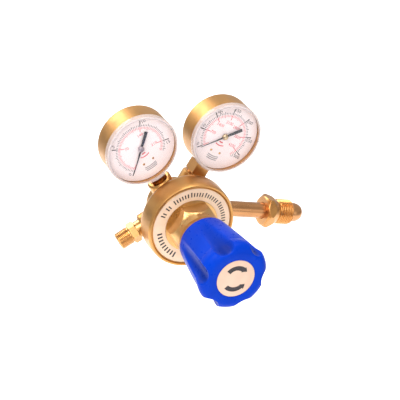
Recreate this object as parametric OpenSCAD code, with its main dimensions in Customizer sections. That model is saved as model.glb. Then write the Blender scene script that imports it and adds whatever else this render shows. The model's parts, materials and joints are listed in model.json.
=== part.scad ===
// Single-stage oxygen cylinder regulator with two bottom-entry pressure gauges.
// Sizes are in millimetres. +Z is up, the adjusting knob points to -Y, the inlet to +X.
// The origin is the middle of the inlet nut's thread, on the inlet's axis.
// Heights named _h are measured forward (to -Y) from the plane of the four ports.
// Distances named _out are measured along a port's own axis from the main axis.

/* [Body] */
// Radius of the body at its front rim
rim_r = 40; // [38:0.5:44]
// How far the body's side bulges past its rim
body_bulge = 0.6; // [0.3:0.1:2]
// Front edge of the body, forward of the ports
rim_h = 39; // [37:0.5:42]
// Back of the body's disc, forward of the ports
disc_back_h = 14; // [12:0.5:15]
// Large rounding that makes the disc's back a bowl
disc_round = 9; // [6:0.5:12]
// Radius of the hub that carries the bosses
hub_r = 23; // [22.5:0.5:26]
// Half the depth of the hub
hub_half = 13; // [12:0.5:15]
// Rounding of the hub's back edge
hub_round = 3; // [1:0.5:5]
// Radius of a port boss
boss_r = 11; // [10:0.5:12]
// Outer end of a port boss
boss_out = 34.5; // [33.5:0.5:37]
// Chamfer on the end of a port boss
boss_chamfer = 1.5; // [0.5:0.25:2.5]
// Radius of the four tapped ports
port_r = 6.6; // [6:0.1:7]
// Depth of a tapped port
port_depth = 11; // [9:0.5:13]
// Radius of the drilled gas passages
passage_r = 2.2; // [1.5:0.1:2.5]
// Radius at which the low-pressure passages rise to the chamber
riser_at = 17; // [16.5:0.25:17.5]

/* [Bonnet] */
// Radius of the bonnet's thread in the body
bonnet_r = 37; // [36.8:0.1:37.2]
// Front face of the bonnet, inside the rim
bonnet_face_h = 38.3; // [38:0.1:38.8]
// Width of the bonnet's hexagon across flats
hex_flats = 41; // [40:0.5:42]
// Turn of the hexagon about the main axis
hex_turn = 0; // [-30:1:30]
// Front end of the hexagon's full corners
hex_corner_h = 46.2; // [44:0.2:48]
// Where the hexagon's cone meets the round spring housing
neck_base_h = 53; // [52:0.5:55]
// Radius of the round spring housing
neck_r = 20; // [19.5:0.1:20.2]
// Front end of the spring housing
neck_end_h = 91; // [88:0.5:91.5]
// Radius of the bore for the main spring
spring_bore_r = 16.5; // [16:0.1:17]
// Thickness of the housing's tapped end
neck_end_wall = 11; // [9:0.5:12]

/* [Ring label] */
// Outer radius of the ring label
ring_label_r = 36; // [35:0.25:36.2]
// Inner radius of the ring label
ring_label_hole_r = 24.6; // [24.4:0.1:28]
// Thickness of the ring label
ring_label_t = 0.4; // [0.2:0.1:0.6]

/* [Knob] */
// How far the unscrewed knob still covers the spring housing
knob_cover = 25; // [23:0.5:26]
// How far the unscrewed knob's face stands past the spring housing
knob_reach = 39.2; // [38:0.2:42]
// Radius of the knob's back edge
knob_back_r = 22.6; // [22.4:0.1:23.5]
// Radius of the knob just before its front flare
knob_mid_r = 29.1; // [28.5:0.1:29.8]
// Largest radius of the knob, at its lobes
knob_lobe_r = 30.7; // [30:0.1:31.5]
// Radius of the rounding round the front face
knob_front_round = 8; // [6:0.5:9]
// Length of the knob's front flare, its rounding included
knob_flare_len = 16; // [12:1:20]
// Number of flutes
flute_count = 6; // [5:1:7]
// Radius of a flute's round bottom
flute_r = 10.8; // [10:0.1:12.5]
// Depth of a flute below the lobes at the knob's face
flute_depth = 5.6; // [4:0.1:6]
// Wall left under a flute at the knob's back edge
flute_wall = 1.2; // [1:0.1:2]
// Turn of the flutes about the knob's axis
knob_turn = -19; // [-60:1:60]
// Radius of the knob's inside, over the spring housing
knob_bore_r = 20.6; // [20.4:0.1:20.8]
// Radius of the disc label
knob_label_r = 17; // [16:0.5:18]
// Thickness of the disc label
knob_label_t = 0.4; // [0.2:0.1:0.6]

/* [Adjusting screw] */
// Radius of the screw
screw_r = 6; // [5.5:0.1:6.2]
// Thread pitch of the screw
screw_pitch = 1.75; // [1.5:0.05:1.8]
// Turns from fully out to fully in
screw_turns = 5; // [4:1:5]
// Radius of the collar that bears on the knob
collar_r = 9; // [8:0.5:10]
// Thickness of the collar
collar_t = 3; // [2:0.5:3.5]
// Width of the knob nut across flats
knob_nut_flats = 19; // [17:1:20]
// Thickness of the knob nut
knob_nut_t = 8; // [6:0.5:9]

/* [Main spring] */
// Radius of the main spring's wire
wire_r = 2; // [1.6:0.1:2.2]
// Mean radius of the main spring
coil_r = 12.4; // [12:0.1:12.8]
// Number of turns of the main spring
coil_turns = 6; // [5:0.5:7]

/* [Diaphragm] */
// Radius of the diaphragm
diaphragm_r = 36.4; // [36:0.1:36.6]
// Thickness of the diaphragm
diaphragm_t = 1.2; // [0.8:0.1:1.6]
// Ledge in the body that the diaphragm lies on
ledge_h = 24; // [23.5:0.25:24.5]
// Radius of the chamber under the diaphragm
chamber_r = 31; // [29:0.5:32]
// Depth of the chamber
chamber_depth = 8; // [7.6:0.2:8.6]
// Thickness of the slip washer
washer_t = 0.7; // [0.5:0.1:1]
// Radius of the diaphragm plate
plate_r = 20; // [18:0.5:22]
// Thickness of the diaphragm plate
plate_t = 3; // [2:0.25:3.4]
// Radius of the plate's stud through the diaphragm
stud_r = 3; // [2.5:0.1:3.5]
// Radius of the nut under the diaphragm
under_nut_r = 9; // [8:0.5:11]
// Thickness of the nut under the diaphragm
under_nut_t = 2.5; // [2:0.1:2.7]

/* [Valve] */
// Radius of the seat nozzle's thread
nozzle_r = 8; // [7.6:0.1:8.4]
// Width of the nozzle's hexagon across flats
nozzle_flats = 19; // [17:1:20]
// Thickness of the nozzle's hexagon
nozzle_head_t = 3.4; // [3:0.1:3.6]
// Lower end of the nozzle, behind the ports
nozzle_low = 6; // [5:0.5:7]
// Radius of the nozzle's orifice
orifice_r = 2.6; // [2.2:0.1:3]
// Radius of the poppet's pin
pin_r = 1.5; // [1.2:0.1:1.8]
// Radius of the poppet's head
poppet_r = 5; // [4.5:0.1:5.4]
// Thickness of the poppet's head
poppet_t = 3; // [2.5:0.25:3.5]
// How far the poppet opens
valve_lift = 0.8; // [0.5:0.1:0.9]
// Radius of the poppet spring's wire
poppet_wire_r = 0.5; // [0.4:0.05:0.6]
// Mean radius of the poppet spring
poppet_coil_r = 3.6; // [3.2:0.1:4]
// Number of turns of the poppet spring
poppet_coil_turns = 5; // [4:1:6]

/* [Inlet] */
// Direction of the inlet, clockwise from straight up
inlet_angle = 102.9; // [95:0.1:105]
// Radius of the inlet tube
tube_r = 7.2; // [7:0.1:7.4]
// Radius of the gas way through the inlet
inlet_bore_r = 3; // [2.5:0.1:3.5]
// Distance from the main axis to the middle of the nut's thread
inlet_mid_out = 109.75; // [107:0.25:113]
// Length of the nut's thread
nut_thread_len = 16.5; // [15:0.5:18]
// Length of the nut's hexagon
nut_hex_len = 12; // [11:0.5:14]
// How far the bullnose reaches past the nut
nose_reach = 12.4; // [11:0.2:14]
// Width of the nut across flats
nut_flats = 27; // [26:0.5:30]
// Radius of the nut's thread, 5/8 inch pipe
nut_thread_r = 11.456; // [11:0.001:12]
// Radius of the shoulder that the nut pulls on
shoulder_r = 9; // [8.6:0.1:9.2]
// How far the shoulder's seat lies past the nut's hexagon
shoulder_inset = 4.5; // [4:0.25:6]
// Length of the nut's front chamfer
nut_chamfer = 7.5; // [5:0.25:8]
// Length of the filter in the nipple's bore
filter_len = 12; // [8:1:14]
// How far the filter lies behind the bullnose's tip
filter_inset = 4; // [2:0.5:6]
// Turn of the nut about its own axis
nut_turn = -3; // [-30:1:30]

/* [Outlet] */
// Direction of the outlet, clockwise from straight up
outlet_angle = -118.5; // [-125:0.1:-115]
// Where the outlet's hexagon starts
outlet_hex_out = 40; // [39:0.25:41]
// Where the outlet's thread starts
outlet_thread_out = 47; // [46:0.25:48]
// Free end of the outlet
outlet_end_out = 59.4; // [57:0.2:61]
// Width of the outlet's hexagon across flats
outlet_flats = 17; // [16.5:0.5:20]
// Radius of the outlet's thread, 3/8 inch pipe
outlet_thread_r = 8.33; // [8:0.01:8.6]
// Radius of the gas way through the outlet
outlet_bore_r = 3; // [2.5:0.1:3.5]

/* [Gauges] */
// Lean of each gauge from straight up
gauge_lean = 30.3; // [28:0.1:34]
// Distance from the main axis to a gauge's centre
gauge_out = 78; // [77:0.25:81]
// Outer radius of a gauge case
case_r = 32.2; // [31.5:0.1:32.6]
// Wall of a gauge case
case_wall = 0.7; // [0.5:0.1:1]
// Back of a case, behind the ports
case_back = 9.5; // [9:0.25:12]
// Front lip of a case, forward of the ports
case_lip_h = 14.5; // [14:0.1:15.2]
// Rounding of a case's back edge
case_round = 2; // [1:0.25:3]
// Wall of a lens's skirt round the case
skirt_wall = 0.75; // [0.5:0.05:1]
// Front face of a lens
lens_front_h = 16.6; // [16.2:0.1:17.5]
// Thickness of a lens
lens_t = 1.6; // [1:0.1:1.8]
// Back end of the lens's skirt
skirt_h = 11.8; // [11:0.1:13]
// Front face of a dial
dial_h = 10; // [9.6:0.1:10.4]
// Thickness of a dial
dial_t = 0.5; // [0.4:0.1:0.8]
// Reach of a needle's tip from its arbor
needle_tip = 23.8; // [20:0.2:25]
// Reach of a needle's tail
needle_tail = 16.5; // [8:0.5:18]
// Angle of a resting needle from straight up
needle_rest = -136; // [-140:1:-125]
// Full swing of a needle
needle_sweep = 272; // [250:1:280]
// Distance of the two dial screws below the arbor
dial_screw_drop = 15.7; // [14.5:0.1:17]
// Half the distance between the two dial screws
dial_screw_half = 4.8; // [4:0.1:6]
// Width of the wrench square across flats
square_flats = 14; // [12:0.5:14.5]

/* [Gauge movement] */
// How far the curved pressure tube's middle lies inside the case's wall
tube_inset = 8.5; // [7.5:0.1:9.5]
// Half the thickness of the tube's section
bourdon_half_t = 1.3; // [1:0.1:1.6]
// Half the depth of the tube's section
bourdon_half_d = 4.5; // [3.5:0.1:5]
// Sweep of the curved tube
bourdon_sweep = 265; // [245:1:267]
// Back plate of the movement, forward of the ports
frame_back_h = -3; // [-3.5:0.1:-2.5]
// Front plate of the movement, forward of the ports
frame_front_h = 5.5; // [5:0.1:6]
// Thickness of the movement's plates
frame_t = 1.2; // [1:0.1:1.5]
// Half the width of the movement's plates
frame_half_w = 7.5; // [7:0.1:7.6]
// Pitch radius of the needle's pinion
pinion_r = 1.05; // [1:0.05:1.2]
// How many times finer the sector turns than the needle
sector_ratio = 8; // [7:1:9]
// Distance from the sector's pivot to the link's pin
sector_tail = 6; // [5:0.25:7]
// Room between the sector's tail pin and the socket
tail_room = 4.5; // [4:0.25:5]
// Thickness of the sector
sector_t = 1; // [0.8:0.1:1.5]

/* [Fits] */
// Clearance all round a screwed joint
thread_gap = 0.1; // [0.05:0.01:0.15]
// Clearance between pieces that lie close but don't bear
free_gap = 0.3; // [0.2:0.05:0.4]
// Radial clearance of a running fit
run_gap = 0.08; // [0.04:0.01:0.1]

/* [Hidden] */
$fn = 72;

brass = [0.78, 0.58, 0.35];
bright_brass = [0.85, 0.66, 0.42];
copper_brass = [0.72, 0.48, 0.30];
steel = [0.72, 0.72, 0.74];
label_cream = [0.99, 0.89, 0.78];
knob_blue = [0.10, 0.28, 0.85];
eps = 0.01;

// Where the main axis crosses the plane of the ports
body_centre = -inlet_mid_out * [sin(inlet_angle), 0, cos(inlet_angle)];

// Places along the main axis
knob_back_h = neck_end_h - knob_cover;
knob_front_h = neck_end_h + knob_reach;
chamber_h = ledge_h - chamber_depth;
bore_low_h = -nozzle_low - 1;
diaphragm_top_h = ledge_h + diaphragm_t;
bonnet_low_h = diaphragm_top_h + washer_t;
plate_top_h = diaphragm_top_h + plate_t;
plate_room = 2.4;
plate_room_h = plate_top_h + plate_room;
clamp_r = chamber_r;
screw_travel = screw_pitch * screw_turns;
collar_room = 1.25;
collar_h = neck_end_h + screw_travel + collar_room;
knob_floor_h = collar_h + collar_t;
hub_wall = 14;
pocket_h = knob_floor_h + hub_wall;
pocket_r = knob_nut_flats / sqrt(3) + 1;
label_seat_h = knob_front_h - knob_label_t;
screw_end_h = pocket_h + knob_nut_t + 1;
flute_floor_r = knob_lobe_r - flute_depth;
flute_lean = atan((flute_floor_r - knob_bore_r - flute_wall) / (knob_front_h - knob_back_h));
screw_overrun = 6.8;
button_seat_h = neck_end_h - neck_end_wall - screw_overrun;
button_flange_t = 3;
spring_low_h = plate_top_h + run_gap;
spring_high_h = button_seat_h - 1 - run_gap;
pilot_r = coil_r - wire_r - free_gap;
button_r = coil_r + wire_r + 0.2;
nut_low_h = ledge_h - under_nut_t;
nozzle_top_h = chamber_h + nozzle_head_t;
seat_h = 8;
poppet_top_h = seat_h - run_gap;
guide_t = 3;
valve_well_r = nozzle_r - 2;
guide_top_h = guide_t - nozzle_low;

// Places along the inlet
nut_thread_out = inlet_mid_out - nut_thread_len / 2;
nut_end_out = inlet_mid_out + nut_thread_len / 2;
nut_back_out = nut_thread_out - nut_hex_len;
shoulder_out = nut_thread_out + shoulder_inset;
tip_out = nut_end_out + nose_reach;

// Body centred frame: local z runs forward along the main axis, local y is up
module on_axis() {
  translate(body_centre) rotate([90, 0, 0]) children();
}

// Port frame: local z runs out along a port at an angle clockwise from straight up
module on_port(angle) {
  on_axis() rotate([0, 0, 90 - angle]) rotate([0, 90, 0]) children();
}

// Gauge frame: local z runs forward from the port plane, local y is the dial's up
module on_gauge(angle) {
  on_axis() rotate([0, 0, -angle]) translate([0, gauge_out, 0]) children();
}

// A solid of revolution from a list of [radius, height] corners
module turned(corners) {
  rotate_extrude() polygon(corners);
}

// A hexagonal prism measured across its flats, with one flat facing local +Y
module hexagon(flats, height) {
  cylinder(h = height, r = flats / sqrt(3), $fn = 6);
}

// A hexagonal prism with turned chamfers on its corners at one or both ends
module chamfered_hexagon(flats, height, low, high) {
  corner_r = flats / sqrt(3);
  intersection() {
    hexagon(flats, height);
    turned([
      [0, 0], [corner_r - low * 1.7, 0], [corner_r + 0.1, low],
      [corner_r + 0.1, height - high], [corner_r - high * 1.7, height], [0, height]
    ]);
  }
}

// One coil spring wound about z, its wire swept ring by ring, ends closed
module coil_spring(mean_r, wire, low, high, turns, sides, steps) {
  rings = turns * steps;
  rise = high - low - 2 * wire;
  points = [
    for (i = [0:rings], k = [0:sides - 1])
      let (
        a = 360 * i / steps,
        w = 360 * k / sides,
        r = mean_r + wire * cos(w)
      )
      [r * cos(a), r * sin(a), low + wire + rise * coil_height(i / rings, turns) + wire * sin(w)]
  ];
  sides_faces = [
    for (i = [0:rings - 1], k = [0:sides - 1])
      let (
        a = i * sides + k,
        b = i * sides + (k + 1) % sides
      )
      [a, a + sides, b + sides, b]
  ];
  start = [[for (k = [0:sides - 1]) k]];
  end = [[for (k = [sides - 1:-1:0]) rings * sides + k]];
  polyhedron(points = points, faces = concat(sides_faces, start, end), convexity = 10);
}

// Share of a spring's rise at share s of its length: flat for most of a turn at each end
function coil_height(s, turns) =
  let (flat = 0.8 / turns)
  s < flat ? 0.25 * s * s / flat
  : s > 1 - flat ? 1 - 0.25 * (1 - s) * (1 - s) / flat
  : 0.25 * flat + (1 - 0.5 * flat) * (s - flat) / (1 - 2 * flat);

// Body

module body() {
  color(brass) difference() {
    union() {
      on_axis() rotate_extrude() body_section();
      for (angle = [-gauge_lean, gauge_lean, inlet_angle, outlet_angle])
        on_port(angle) port_boss();
    }
    on_axis() body_cavity();
    for (angle = [-gauge_lean, gauge_lean, inlet_angle, outlet_angle])
      on_port(angle) port_bore();
    for (angle = [gauge_lean, inlet_angle])
      on_port(angle) high_pressure_passage();
    for (angle = [-gauge_lean, outlet_angle])
      on_port(angle) low_pressure_passage();
  }
}

// Half section of the disc and hub, radius to the right and forward up
module body_section() {
  widest_r = rim_r + body_bulge;
  half_span = rim_h - disc_back_h - 2;
  bulge_r = (half_span * half_span + body_bulge * body_bulge) / (2 * body_bulge);
  intersection() {
    union() {
      translate([0, disc_back_h + disc_round]) square([widest_r, rim_h - disc_back_h - disc_round]);
      translate([0, disc_back_h]) square([widest_r - disc_round, rim_h - disc_back_h]);
      translate([widest_r - disc_round, disc_back_h + disc_round]) circle(disc_round);
    }
    translate([widest_r - bulge_r, disc_back_h + 2]) circle(bulge_r, $fn = 180);
    polygon([
      [0, 0], [widest_r + 1, 0], [widest_r + 1, rim_h - 2.2], [rim_r + 0.2, rim_h - 2.2],
      [rim_r - 0.8, rim_h], [0, rim_h]
    ]);
  }
  translate([0, hub_round - hub_half]) square([hub_r, disc_back_h + hub_half]);
  translate([0, -hub_half]) square([hub_r - hub_round, hub_half]);
  translate([hub_r - hub_round, hub_round - hub_half]) circle(hub_round);
}

module port_boss() {
  turned([
    [0, 12], [boss_r, 12], [boss_r, boss_out - boss_chamfer],
    [boss_r - boss_chamfer, boss_out], [0, boss_out]
  ]);
}

module body_cavity() {
  lip = 0.8;
  cup_r = bonnet_r + thread_gap;
  turned([
    [0, bore_low_h], [nozzle_r + thread_gap, bore_low_h], [nozzle_r + thread_gap, chamber_h],
    [chamber_r, chamber_h], [chamber_r, ledge_h], [cup_r, ledge_h],
    [cup_r, rim_h - lip], [cup_r + lip, rim_h], [cup_r + lip, rim_h + 1], [0, rim_h + 1]
  ]);
}

module port_bore() {
  translate([0, 0, boss_out - port_depth]) cylinder(h = port_depth + 1, r = port_r);
}

// Straight drilling from a port to the valve's well
module high_pressure_passage() {
  translate([0, 0, nozzle_r - 1]) cylinder(h = boss_out - port_depth - nozzle_r + 2, r = passage_r);
}

// Drilling from a port inward, met by a riser from the chamber's floor
module low_pressure_passage() {
  translate([0, 0, riser_at]) cylinder(h = boss_out - port_depth - riser_at + 1, r = passage_r);
  translate([0, 0, riser_at]) rotate([0, -90, 0])
    translate([0, 0, -passage_r]) cylinder(h = chamber_h + passage_r + 1, r = passage_r);
}

// Bonnet and label

module bonnet() {
  hex_corner_r = hex_flats / sqrt(3);
  color(brass) on_axis() difference() {
    union() {
      turned([
        [0, bonnet_low_h], [bonnet_r, bonnet_low_h], [bonnet_r, bonnet_face_h - 0.6],
        [bonnet_r - 0.6, bonnet_face_h], [0, bonnet_face_h]
      ]);
      intersection() {
        translate([0, 0, bonnet_face_h - 1]) rotate([0, 0, hex_turn])
          hexagon(hex_flats, neck_base_h - bonnet_face_h + 1);
        turned([
          [0, bonnet_face_h - 1], [hex_corner_r + 1, bonnet_face_h - 1], [hex_corner_r + 1, hex_corner_h - 1.4],
          [neck_r, neck_base_h], [0, neck_base_h]
        ]);
      }
      turned([
        [0, neck_base_h - 8], [neck_r, neck_base_h - 8], [neck_r, neck_end_h - 1],
        [neck_r - 1, neck_end_h], [0, neck_end_h]
      ]);
    }
    bonnet_inside();
    label_recess();
  }
}

module bonnet_inside() {
  room_r = plate_r + 1.5;
  turned([
    [0, bonnet_low_h - 1], [clamp_r, bonnet_low_h - 1], [clamp_r, bonnet_low_h],
    [room_r, plate_room_h], [spring_bore_r, plate_room_h + 3], [spring_bore_r, neck_end_h - neck_end_wall - 3],
    [screw_r + 3, neck_end_h - neck_end_wall], [screw_r + thread_gap, neck_end_h - neck_end_wall],
    [screw_r + thread_gap, neck_end_h - 0.8], [screw_r + 1, neck_end_h + 0.1], [0, neck_end_h + 0.1]
  ]);
}

module label_recess() {
  translate([0, 0, label_floor_h]) difference() {
    cylinder(h = 2, r = ring_label_r + 0.15);
    translate([0, 0, -1]) cylinder(h = 4, r = ring_label_hole_r - 0.15);
  }
}

label_floor_h = bonnet_face_h - 0.7;

module ring_label() {
  color(label_cream) on_axis() translate([0, 0, label_floor_h]) difference() {
    cylinder(h = ring_label_t, r = ring_label_r);
    translate([0, 0, -1]) cylinder(h = ring_label_t + 2, r = ring_label_hole_r);
  }
}

// Diaphragm stack

module diaphragm() {
  color([0.15, 0.15, 0.15]) on_axis() translate([0, 0, ledge_h]) difference() {
    cylinder(h = diaphragm_t, r = diaphragm_r);
    translate([0, 0, -1]) cylinder(h = diaphragm_t + 2, r = stud_r + run_gap);
  }
}

module slip_washer() {
  color(steel) on_axis() translate([0, 0, diaphragm_top_h]) difference() {
    cylinder(h = washer_t, r = diaphragm_r);
    translate([0, 0, -1]) cylinder(h = washer_t + 2, r = clamp_r);
  }
}

module diaphragm_plate() {
  color(steel) on_axis() turned([
    [0, nut_low_h + 0.4], [stud_r, nut_low_h + 0.4], [stud_r, diaphragm_top_h],
    [plate_r - 0.8, diaphragm_top_h], [plate_r, diaphragm_top_h + 0.8], [plate_r, plate_top_h - 0.8],
    [plate_r - 0.8, plate_top_h], [pilot_r, plate_top_h], [pilot_r, plate_top_h + 2],
    [pilot_r - 1, plate_top_h + 3], [0, plate_top_h + 3]
  ]);
}

module diaphragm_nut() {
  color(brass) on_axis() difference() {
    turned([
      [0, nut_low_h], [under_nut_r - 1, nut_low_h], [under_nut_r, nut_low_h + 1],
      [under_nut_r, ledge_h], [0, ledge_h]
    ]);
    translate([0, 0, nut_low_h + 0.35]) cylinder(h = under_nut_t, r = stud_r + run_gap);
  }
}

module main_spring() {
  color(steel) on_axis()
    coil_spring(coil_r, wire_r, spring_low_h, spring_high_h, coil_turns, 10, 20);
}

module spring_button() {
  seat_low_h = button_seat_h - 1;
  color(brass) on_axis() difference() {
    turned([
      [0, seat_low_h - 3], [pilot_r - 1, seat_low_h - 3], [pilot_r, seat_low_h - 2], [pilot_r, seat_low_h],
      [button_r, seat_low_h], [button_r, seat_low_h + button_flange_t - 0.6],
      [button_r - 0.6, seat_low_h + button_flange_t], [0, seat_low_h + button_flange_t]
    ]);
    translate([0, 0, button_seat_h]) cylinder(h = button_flange_t, r = screw_r + free_gap);
  }
}

// Screw and knob

module adjusting_screw() {
  tip_h = button_seat_h + run_gap;
  color(steel) on_axis() turned([
    [0, tip_h], [screw_r - 2.5, tip_h], [screw_r - 1, tip_h + 1.5],
    [screw_r - 1, neck_end_h - neck_end_wall - 3],
    [screw_r, neck_end_h - neck_end_wall - 2], [screw_r, collar_h],
    [collar_r, collar_h], [collar_r, knob_floor_h], [screw_r, knob_floor_h],
    [screw_r, screw_end_h - 0.8], [screw_r - 0.8, screw_end_h], [0, screw_end_h]
  ]);
}

// Radius of the knob's skin before its front flare: widens gently, a little crowned
function knob_skin(t) = knob_back_r + 1.3 + (knob_mid_r - knob_back_r - 1.3) * (1.25 * t - 0.25 * t * t);

module knob_blank() {
  skin_low_h = knob_back_h + 5;
  flare_h = knob_front_h - knob_flare_len;
  wide_h = knob_front_h - knob_front_round;
  steps = 10;
  round_r = knob_front_round;
  turned(concat(
    [[0, knob_back_h], [knob_back_r - 1, knob_back_h]],
    [for (i = [0:4]) [knob_back_r - 1 + sin(22.5 * i), knob_back_h + 1 - cos(22.5 * i)]],
    [for (i = [0:steps]) [knob_skin(i / steps), skin_low_h + (flare_h - skin_low_h) * i / steps]],
    [for (i = [1:4])
      [knob_mid_r + (knob_lobe_r - knob_mid_r) * sin(22.5 * i), flare_h + (wide_h - flare_h) * i / 4]],
    [for (i = [0:8])
      [knob_lobe_r - round_r + round_r * cos(11.25 * i), knob_front_h - round_r + round_r * sin(11.25 * i)]],
    [[0, knob_front_h]]
  ));
}

// A round-bottomed flute that leans with the knob and runs out through the front rounding
module flute() {
  length = knob_front_h - knob_back_h + 4;
  translate([flute_floor_r + flute_r, 0, knob_front_h]) rotate([0, flute_lean, 0])
    translate([0, 0, 2 - length]) cylinder(h = length, r = flute_r);
}

module knob() {
  color(knob_blue) on_axis() difference() {
    knob_blank();
    for (i = [0:flute_count - 1])
      rotate([0, 0, 90 - knob_turn - 360 / flute_count * i]) flute();
    translate([0, 0, knob_back_h - 1]) cylinder(h = knob_floor_h - knob_back_h + 1, r = knob_bore_r);
    translate([0, 0, knob_floor_h - 1]) cylinder(h = pocket_h - knob_floor_h + 2, r = screw_r + run_gap);
    translate([0, 0, pocket_h]) cylinder(h = label_seat_h - pocket_h, r = pocket_r);
    translate([0, 0, label_seat_h - eps]) cylinder(h = 2, r = knob_label_r + 0.15);
  }
}

module knob_nut() {
  color(steel) on_axis() translate([0, 0, pocket_h]) difference() {
    chamfered_hexagon(knob_nut_flats, knob_nut_t, 0.5, 0.8);
    translate([0, 0, -1]) cylinder(h = knob_nut_t + 2, r = screw_r + run_gap);
  }
}

module knob_label() {
  color(label_cream) on_axis() translate([0, 0, label_seat_h]) cylinder(h = knob_label_t, r = knob_label_r);
}

// Valve

module seat_nozzle() {
  waist_r = nozzle_r - 1;
  color(bright_brass) on_axis() difference() {
    union() {
      turned([
        [0, -nozzle_low], [waist_r, -nozzle_low], [waist_r, 5], [nozzle_r, 6],
        [nozzle_r, chamber_h], [0, chamber_h]
      ]);
      translate([0, 0, chamber_h]) chamfered_hexagon(nozzle_flats, nozzle_head_t, 0, 0.7);
    }
    translate([0, 0, -nozzle_low - 1]) cylinder(h = seat_h + nozzle_low + 1, r = valve_well_r);
    translate([0, 0, seat_h - 1]) cylinder(h = nozzle_top_h - seat_h + 2, r = orifice_r);
  }
}

module poppet() {
  head_low_h = poppet_top_h - poppet_t;
  pin_top_h = nut_low_h - run_gap;
  color(steel) on_axis() turned([
    [0, guide_top_h + 2], [pin_r, guide_top_h + 2], [pin_r, head_low_h], [poppet_r, head_low_h],
    [poppet_r, poppet_top_h - 0.5], [poppet_r - 0.5, poppet_top_h], [pin_r, poppet_top_h],
    [pin_r, pin_top_h - 0.4], [pin_r - 0.4, pin_top_h], [0, pin_top_h]
  ]);
}

module poppet_spring() {
  low = guide_top_h + run_gap;
  high = poppet_top_h - poppet_t - run_gap;
  color(steel) on_axis() coil_spring(poppet_coil_r, poppet_wire_r, low, high, poppet_coil_turns, 6, 14);
}

module poppet_guide() {
  color(bright_brass) on_axis() translate([0, 0, -nozzle_low]) difference() {
    cylinder(h = guide_t, r = valve_well_r - run_gap);
    translate([0, 0, -1]) cylinder(h = guide_t + 2, r = pin_r);
  }
}

// Inlet

module inlet_nipple() {
  root_out = boss_out - port_depth + 0.5;
  nose_out = nut_end_out + 1.5;
  nose_len = tip_out - nose_out;
  color(copper_brass) on_port(inlet_angle) difference() {
    turned(concat(
      [[0, root_out], [port_r - thread_gap, root_out], [port_r - thread_gap, boss_out],
       [tube_r, boss_out], [tube_r, shoulder_out], [shoulder_r, shoulder_out]],
      [for (i = [0:8])
        let (
          a = 80 * i / 8,
          share = pow(cos(a * 90 / 80), 0.75)
        )
        [inlet_bore_r + (shoulder_r - inlet_bore_r) * share, nose_out + nose_len * sin(a) / sin(80)]],
      [[0, tip_out]]
    ));
    translate([0, 0, root_out - 1]) cylinder(h = tip_out - root_out + 2, r = inlet_bore_r);
  }
}

module inlet_filter() {
  color([0.7, 0.5, 0.35]) on_port(inlet_angle)
    translate([0, 0, tip_out - filter_inset - filter_len]) cylinder(h = filter_len, r = inlet_bore_r - run_gap);
}

module inlet_nut() {
  length = nut_end_out - nut_back_out;
  seat = shoulder_out - nut_back_out - run_gap;
  corner_r = nut_flats / sqrt(3);
  nut_back_chamfer = 2.6;
  front_chamfer = min(nut_chamfer, nut_hex_len - nut_back_chamfer - 0.5);
  color(bright_brass) on_port(inlet_angle) translate([0, 0, nut_back_out])
  rotate([0, 0, nut_turn]) difference() {
    union() {
      intersection() {
        hexagon(nut_flats, nut_hex_len);
        turned([
          [0, 0], [nut_flats / 2 - 0.8, 0], [corner_r, nut_back_chamfer],
          [corner_r, nut_hex_len - front_chamfer], [nut_thread_r, nut_hex_len], [0, nut_hex_len]
        ]);
      }
      turned([
        [0, nut_hex_len - 1], [nut_thread_r, nut_hex_len - 1], [nut_thread_r, length - 1.3],
        [nut_thread_r - 1.3, length], [0, length]
      ]);
    }
    translate([0, 0, -1]) cylinder(h = length + 2, r = tube_r + run_gap);
    translate([0, 0, seat]) cylinder(h = length, r = shoulder_r + free_gap);
  }
}

// Outlet

module outlet_adapter() {
  root_out = boss_out - port_depth + 0.5;
  cone_r = outlet_thread_r - 2.2;
  color(bright_brass) on_port(outlet_angle) difference() {
    union() {
      turned([
        [0, root_out], [port_r - thread_gap, root_out], [port_r - thread_gap, boss_out],
        [port_r + 1.2, boss_out], [port_r + 1.2, outlet_hex_out], [0, outlet_hex_out]
      ]);
      translate([0, 0, outlet_hex_out])
        chamfered_hexagon(outlet_flats, outlet_thread_out - outlet_hex_out, 0.6, 0.6);
      turned([
        [0, outlet_thread_out - 1], [outlet_thread_r, outlet_thread_out - 1],
        [outlet_thread_r, outlet_end_out - 0.9], [outlet_thread_r - 0.9, outlet_end_out], [0, outlet_end_out]
      ]);
    }
    turned([
      [0, root_out - 1], [outlet_bore_r, root_out - 1],
      [outlet_bore_r, outlet_end_out - (cone_r - outlet_bore_r) * 1.732], [cone_r, outlet_end_out],
      [cone_r, outlet_end_out + 1], [0, outlet_end_out + 1]
    ]);
  }
}

// Gauges, each at its own lean

square_top_out = gauge_out - case_r - 0.1;
square_low_out = boss_out + 0.8;
inner_r = case_r - case_wall;
lens_r = case_r + 0.05 + skirt_wall;
dial_r = inner_r - free_gap;
bourdon_r = inner_r - tube_inset;
block_half_w = 6;
block_half_d = 5.5;
block_low_out = gauge_out - sqrt(inner_r * inner_r - block_half_w * block_half_w) + free_gap;
sector_r = pinion_r * sector_ratio;
pivot_drop = sector_r + pinion_r + run_gap;
socket_top = -pivot_drop - sector_tail - tail_room;
frame_low = socket_top + 0.1;
sector_h = frame_back_h + frame_t + 2.2;
link_h = bourdon_half_d + 0.25;
link_t = 0.5;
tail_angle = 200;
link_pin = [sector_tail * sin(tail_angle), -pivot_drop + sector_tail * cos(tail_angle)];
tube_start = 262;
tip_angle = tube_start - bourdon_sweep;
tip_eye = bourdon_r * [cos(tip_angle - 8), sin(tip_angle - 8)];

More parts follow.
